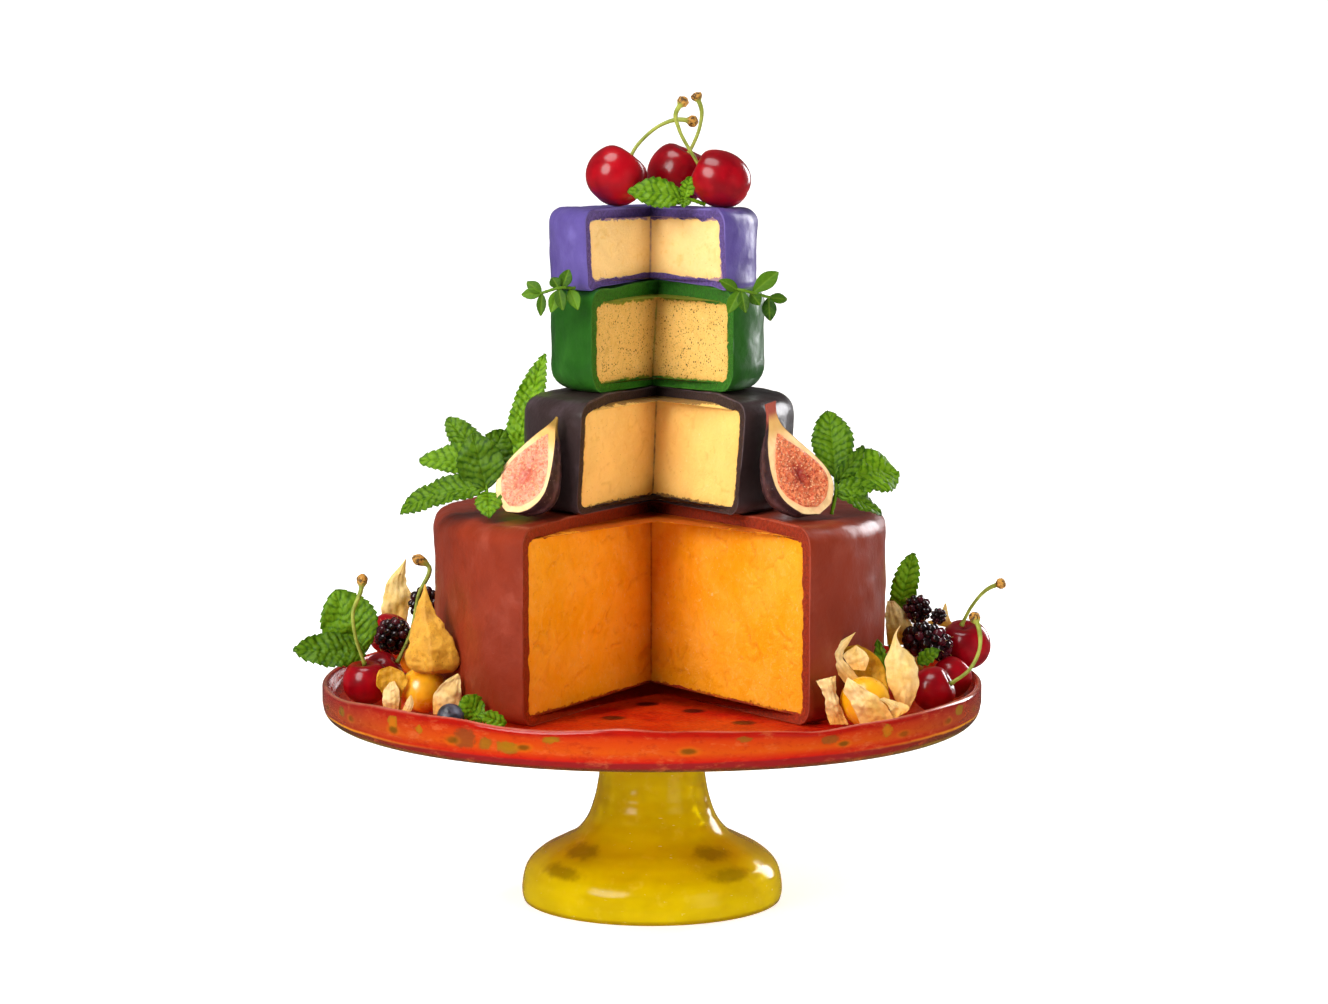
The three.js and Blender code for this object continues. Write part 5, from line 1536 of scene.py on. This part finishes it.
def fig_peel_paint(s, side):
    """Dark striped peel with pale dots, a thin cream rind that deepens towards the pulp, and a neck in
    its own tone."""
    p = Paint(f"fig_skin_{side}")
    stripe, along, depth, face = (p.mark(mark) for mark in ("stripe", "along", "depth", "face"))
    neck, flush = FIGS[side]["neck"], FIGS[side]["flush"]
    lines = (stripe * 13 + p.noise(6, 3) * 6).sine() * 0.5 + 0.5
    peel = p.layers(
        p.mix(lines * 0.6, darker(s.fig_skin, 0.5), toward(s.fig_skin, "7c5450", 0.45)),
        (p.noise(7, 4, 0.65).step(0.5, 0.75) * 0.3, "7a6068"),
        ((1 - p.cells(1.7).step(0.08, 0.16)) * 0.6, "b09a80"),
        (along.step(0.78, 0.9) * 0.9, neck))
    rind = p.layers(
        p.mix(p.noise(3, 4).step(0.35, 0.7), darker(s.fig_rind, 0.88), toward(s.fig_rind, "fbe0a8", 0.5)),
        (depth.step(0.6, 1.0) * 0.5, toward(s.fig_rind, s.fig_pulp, 0.6)),
        ((1 - depth.step(0.0, 0.16)) * 0.5, "a8743c"),
        (along.step(0.66, 0.8) * 0.8, flush),
        (along.step(0.84, 0.93), neck))
    return p.finish(p.mix(face.step(0.45, 0.55), peel, rind), 0.52 - face * 0.1, p.bump(p.noise(1.4, 3), 0.2),
                    Specular_IOR_Level=0.35)


def fig_flesh_paint(s, side):
    """Wet seedy pulp: granular and peach on the left fig, orange-red on the right one, both with pale
    threads, a dark red middle and straw seeds."""
    p = Paint(f"fig_pulp_{side}")
    core, grain = p.mark("core"), p.mark("seed")
    spec = FIGS[side]
    warm, dark, (heart, strength) = getattr(s, spec["pulp"]), spec["dark"], spec["heart"]
    middle = 1 - (core + (p.noise(2.2, 3, 0.7) - 0.5) * 0.9).step(0.05, 0.42)
    flesh = p.layers(
        p.mix(core.step(0.25, 0.95), toward(warm, dark, 0.6), warm),
        (1 - p.noise(1.6, 4, 0.7).step(0.36, 0.56), dark),
        (p.noise(1.2, 4, 0.7, bend=0.8).step(0.5, 0.66) * 0.6, toward(warm, "ffc890", 0.6)),
        (middle * strength, heart),
        (grain.step(0.2, 0.4), p.mix(grain.step(0.5, 1.0), "f4b888", "d8744c")))
    return p.finish(flesh, 0.36, p.bump(p.noise(0.9, 4), 0.35), Coat_Weight=0.25, Coat_Roughness=0.2,
                    Subsurface_Weight=0.15, Subsurface_Radius=(1.0, 0.35, 0.2), Subsurface_Scale=0.002)


class CAKE_OT_figs(bpy.types.Operator):
    """Build the two fig halves with their pulp and seeds"""

    bl_idname = "cake.figs"
    bl_label = "Figs"

    def execute(self, context):
        s = context.scene.cake.fruit
        for seed, (side, spec) in enumerate(FIGS.items()):
            piece(f"fig_rind_{side}", [fig_skins(spec, seed * 9)], fig_peel_paint(s, side), [f"fig_{side}"],
                  sharp=70)
            piece(f"fig_middle_{side}", pulp_skins(spec, seed * 9 + 4), fig_flesh_paint(s, side),
                  [f"fig_pulp_{side}"])
        return {"FINISHED"}


# ---- herbs ----


def mint_leaf(spec, seed):
    """A mint leaf. Its half width is the blade's shape with saw-like teeth that point to the tip. Veins
    leave the midrib in pairs and run forward to the edge, fainter veins cross between them, and the blade
    puffs up in between like a quilt. It folds along its midrib, waves at its edges and droops at its tip.
    marks: the veins, the puffs, the underside and the leaf's tone."""
    base, tip, wide, face, tone, belly, arch = spec
    start, run, side, up = blade_frame(base, tip, face)
    size = np.linalg.norm(run)
    rows, columns = max(int(size * 2.2), 36), 41
    chance = np.random.default_rng(seed)
    along = np.linspace(0.006, 0.997, rows)[:, None]
    across = np.linspace(-1, 1, columns)[None]
    edge = np.abs(across)
    shape = blade_shape(along, belly) ** 0.9
    half = wide / 2 * shape
    teeth = 1 - ((along * (size / 2.8) + chance.uniform(0, 0.4) * (across > 0)) % 1) ** 1.6 * 1.6
    offset = across * (half + 0.6 * teeth * edge**6 * ease(0.03, 0.15, along))
    flat = start + run * along[..., None] + side * offset[..., None]
    pairs = max(size / 3.6, 4.5)
    count = along * pairs * 1.15 - edge * 1.25 * (wide / 14) ** 0.5 + 0.17 * ripple(flat, 6, seed + 2)
    lateral = np.abs(np.sin(np.pi * count))
    cross = np.abs(np.sin(np.pi * (np.abs(offset) / 2.4 + 0.5 * np.floor(count))))
    puff = (lateral * (0.45 + 0.55 * cross)) ** 0.6 * (1 - 0.5 * across**4) * np.minimum(half / 2, 1)
    mid = bell(offset, 0.45)
    fold = 0.16 * half * np.sqrt(across**2 + 0.01)
    phase = 2 * np.pi * (along * 1.6 + chance.uniform()) + 1.5 * np.sign(across)
    wave = 0.05 * wide * edge**3 * np.sin(phase)
    droop = 0.07 * size * along**3
    height = 4 * arch * along * (1 - along) + fold + wave - droop + 0.5 * puff - 0.4 * mid
    height = height + crumple(flat, seed, (0.3, 2.8), (0.9, 11)) * shape
    vein = np.maximum(bell(lateral, 0.2) * (1 - 0.45 * edge), mid)
    vein = np.maximum(vein, 0.4 * bell(cross, 0.22))
    return skin(thickened(flat + up * height[..., None], 0.32), vein=both_sides(vein), puff=both_sides(puff),
                below=front_back(0, 1, columns), tone=tone)


def mint_paint(s):
    """Quilted green leaf, painted lighter on its pillows as highlights and darker between them as shade, with
    fine pale veins and a paler underside. Each leaf has its own tone."""
    p = Paint("mint_leaf")
    vein, below, tone, puff = (p.mark(mark) for mark in ("vein", "below", "tone", "puff"))
    pillow = (puff * 0.6 + p.noise(2.6, 3, 0.6) * 0.9).step(0.45, 1.05)
    hollow = 1 - (pillow + p.noise(7, 2) * 0.5).step(0.3, 0.8)
    green = p.layers(
        p.mix(tone, darker(s.mint, 0.38), toward(s.mint, "6c9c08", 0.5)),
        (p.noise(5, 4, 0.6).step(0.35, 0.7) * 0.35, toward(s.mint, s.vein, 0.35)),
        # Painted highlights on the pillows.
        (pillow * (tone * 0.45 + 0.15), toward(s.vein, "a4c42c", 0.4)),
        # Painted shade in the hollows between the pillows.
        (hollow * 0.32, darker(s.mint, 0.4)),
        (vein.step(0.6, 1.0) * (tone * 0.35 + 0.15), s.vein),
        (below * 0.55, toward(s.mint, "8aa048", 0.5)))
    bump = p.bump(p.noise(1.1, 3), 0.2, p.bump(1 - p.cells(2.2, "SMOOTH_F1"), 0.5))
    return p.finish(green, 0.38 + p.noise(3, 2) * 0.14, bump, Specular_IOR_Level=0.14, Subsurface_Weight=0.08,
                    Subsurface_Radius=(0.5, 1.0, 0.1), Subsurface_Scale=0.0015)


def oregano_leaf(spec, seed):
    """A small smooth oval leaf, folded a little along a sunken midrib, with four faint pairs of veins.
    marks: the veins, the underside and the leaf's tone."""
    base, tip, wide, face, belly = spec
    start, run, side, up = blade_frame(base, tip, face)
    rows, columns = 26, 13
    chance = np.random.default_rng(seed)
    along = np.linspace(0.01, 0.99, rows)[:, None]
    across = np.linspace(-1, 1, columns)[None]
    shape = blade_shape(along, belly)
    half = wide / 2 * shape
    mid = bell(across * half, 0.3)
    veins = np.abs(np.sin(np.pi * (along * 5 - np.abs(across) * 1.1)))
    height = 0.16 * half * np.abs(across) + 0.12 * veins**0.6 * shape - 0.2 * mid
    twist = 0.06 * np.linalg.norm(run) * chance.uniform(-1, 1)
    height = height + 0.5 * np.sin(np.pi * along) + twist * across * along
    top = start + run * along[..., None] + side * (half * across)[..., None] + up * height[..., None]
    vein = np.maximum(mid, 0.5 * bell(veins, 0.16))
    return skin(thickened(top, 0.3), vein=both_sides(vein), below=front_back(0, 1, columns),
                tone=chance.uniform())


def oregano_paint(s):
    """Smooth soft green with a bright midrib and a paler underside."""
    p = Paint("oregano_leaf")
    green = p.layers(
        p.mix(p.mark("tone"), darker(s.oregano, 0.5), toward(s.oregano, "6e981c", 0.5)),
        (p.noise(3, 3).step(0.35, 0.7) * 0.4, toward(s.oregano, "5c8a14", 0.4)),
        (p.mark("vein") * 0.4, "749428"),
        (p.mark("below") * 0.5, "587424"))
    return p.finish(green, 0.5 + p.noise(2, 2) * 0.12, p.bump(p.noise(1.1, 3), 0.15), Specular_IOR_Level=0.15)


def stalk_tube(points, radius):
    """A thin green stalk that keeps its width, with small swellings where leaves leave it."""
    steps = 30
    swell = 1 + 0.25 * np.cos(np.linspace(0, 1, steps) * 6 * np.pi) ** 8
    return tube(route(points, steps), radius * swell, 8, vein=np.full(steps, 0.6), tone=np.full(steps, 0.7),
                puff=np.full(steps, 0.6))


class CAKE_OT_herbs(bpy.types.Operator):
    """Build the mint and oregano sprigs"""

    bl_idname = "cake.herbs"
    bl_label = "Herbs"

    def execute(self, context):
        s = context.scene.cake.herb
        for leaves, stalks, make, paint, slot, radius in (
            (MINT, MINT_STALKS, mint_leaf, mint_paint(s), "mint", 0.75),
            (OREGANO, OREGANO_STALKS, oregano_leaf, oregano_paint(s), "oregano", 0.6),
        ):
            for seed, (name, specs) in enumerate(leaves.items()):
                skins = [make(spec, seed * 20 + k) for k, spec in enumerate(specs)]
                if name in stalks:
                    skins.append(stalk_tube(stalks[name], radius))
                piece(f"{name}_leaves", skins, paint, packed(name))
        return {"FINISHED"}


# ---- stage ----


def lamp(name, place, size, tone, mirrored, watts):
    """A soft oval lamp at place that points at the cake. Glossy surfaces show it only if mirrored is set."""
    data = bpy.data.lights.new(name, "AREA")
    data.shape, data.size, data.size_y = "ELLIPSE", *size
    data.energy, data.color = watts, tone
    thing = bpy.data.objects.new(name, data)
    thing.location, thing.visible_glossy = place, mirrored
    thing.rotation_euler = (Vector(LAMP_AIM) - Vector(place)).to_track_quat("-Z", "Y").to_euler()
    bpy.context.scene.collection.objects.link(thing)


def floor_skin():
    """A sheet that lies flat in front, bends up behind the cake in a quarter circle and goes on upright."""
    front, bend, radius, top, half = -3000, 1500, 900, 4200, 4000
    sweep = np.vstack([line((front, 0), (bend, 0), 30), arc(bend, radius, radius, -90, 0, 24),
                       line((bend + radius, 960), (bend + radius, top), 10)])
    y, z = (sweep[:, k, None] * np.ones(30) for k in range(2))
    x = np.broadcast_to(np.linspace(-half, half, 30), y.shape)
    return skin(np.stack([x, y, z - 0.2], -1), around=False, closed=False)


def stage_paint(name, cloud_tones, roughness, glow_tone, glow):
    """Plain paper in two very near tones that drift in wide clouds and shine a little by themselves."""
    p = Paint(name)
    return p.finish(p.mix(p.noise(900, 2), *cloud_tones), roughness, Emission_Color=glow_tone,
                    Emission_Strength=glow, Specular_IOR_Level=0.0)


class CAKE_OT_stage(bpy.types.Operator):
    """Set up the floor, the backdrop, the lamps and the camera"""

    bl_idname = "cake.stage"
    bl_label = "Stage"

    def execute(self, context):
        scene = context.scene
        s = scene.cake.stage
        paper = stage_paint("stage_paper", (darker(s.floor, 0.985), s.floor), 0.8, s.floor, s.glow)
        floor = piece("stage_floor", [floor_skin()], paper, stage=True)
        floor.visible_glossy = False
        # A far ring wall that only the camera sees, so that the background is pale from every side.
        haze = stage_paint("stage_haze", (s.floor, (1, 1, 1)), 0.9, (1, 1, 1), 0.74)
        wall = piece("stage_wall", [turned(line((7000, -30), (7000, 9000), 12)[::-1], 64)], haze, stage=True)
        for unseen in ("diffuse", "glossy", "transmission", "shadow"):
            setattr(wall, f"visible_{unseen}", False)
        for setting, values in LAMPS.items():
            lamp(*values, getattr(s, setting))
        world = bpy.data.worlds.new("soft_air")
        world.use_nodes = True
        air = world.node_tree.nodes["Background"]
        air.inputs["Color"].default_value = (1, 1, 1, 1)
        air.inputs["Strength"].default_value = s.air
        scene.world = world
        scene.view_settings.view_transform = "Standard"
        data = bpy.data.cameras.new("camera")
        data.lens, data.sensor_width, data.clip_end = s.lens, CAMERA["sensor"], CAMERA["far"]
        camera = bpy.data.objects.new("camera", data)
        camera.location = (CAMERA["aside"], -s.distance, s.height)
        camera.rotation_euler = (np.radians(90 - CAMERA["pitch"]), 0, 0)
        scene.collection.objects.link(camera)
        scene.camera = camera
        return {"FINISHED"}


# ---- sidebar ----


class CAKE_PT_panel(bpy.types.Panel):
    """Lists the cheesecake's settings and the steps that build it"""

    bl_label = "Celebration Cheesecake"
    bl_space_type = "VIEW_3D"
    bl_region_type = "UI"
    bl_category = "Cheesecake"

    def draw(self, context):
        for group in ("stand", "cheese", "fruit", "herb", "stage"):
            settings = getattr(context.scene.cake, group)
            box = self.layout.box()
            box.label(text=type(settings).bl_rna.name)
            for name in settings.__annotations__:
                box.prop(settings, name)
        for step in STEPS:
            self.layout.operator(step.bl_idname)


STEPS = (CAKE_OT_stand, CAKE_OT_cheeses, CAKE_OT_cherries, CAKE_OT_brambles, CAKE_OT_ground_cherries,
         CAKE_OT_figs, CAKE_OT_herbs, CAKE_OT_stage)
CLASSES = (StandSettings, CheeseSettings, FruitSettings, HerbSettings, StageSettings, CakeSettings, *STEPS,
           CAKE_PT_panel)


def register():
    for part in CLASSES:
        bpy.utils.register_class(part)
    bpy.types.Scene.cake = bpy.props.PointerProperty(type=CakeSettings, name="Cake", description="Cheesecake")


def unregister():
    del bpy.types.Scene.cake
    for part in reversed(CLASSES):
        bpy.utils.unregister_class(part)


def main():
    """Builds every piece in order."""
    register()
    for step in STEPS:
        group, name = step.bl_idname.split(".")
        getattr(getattr(bpy.ops, group), name)()


if __name__ == "__main__":
    main()
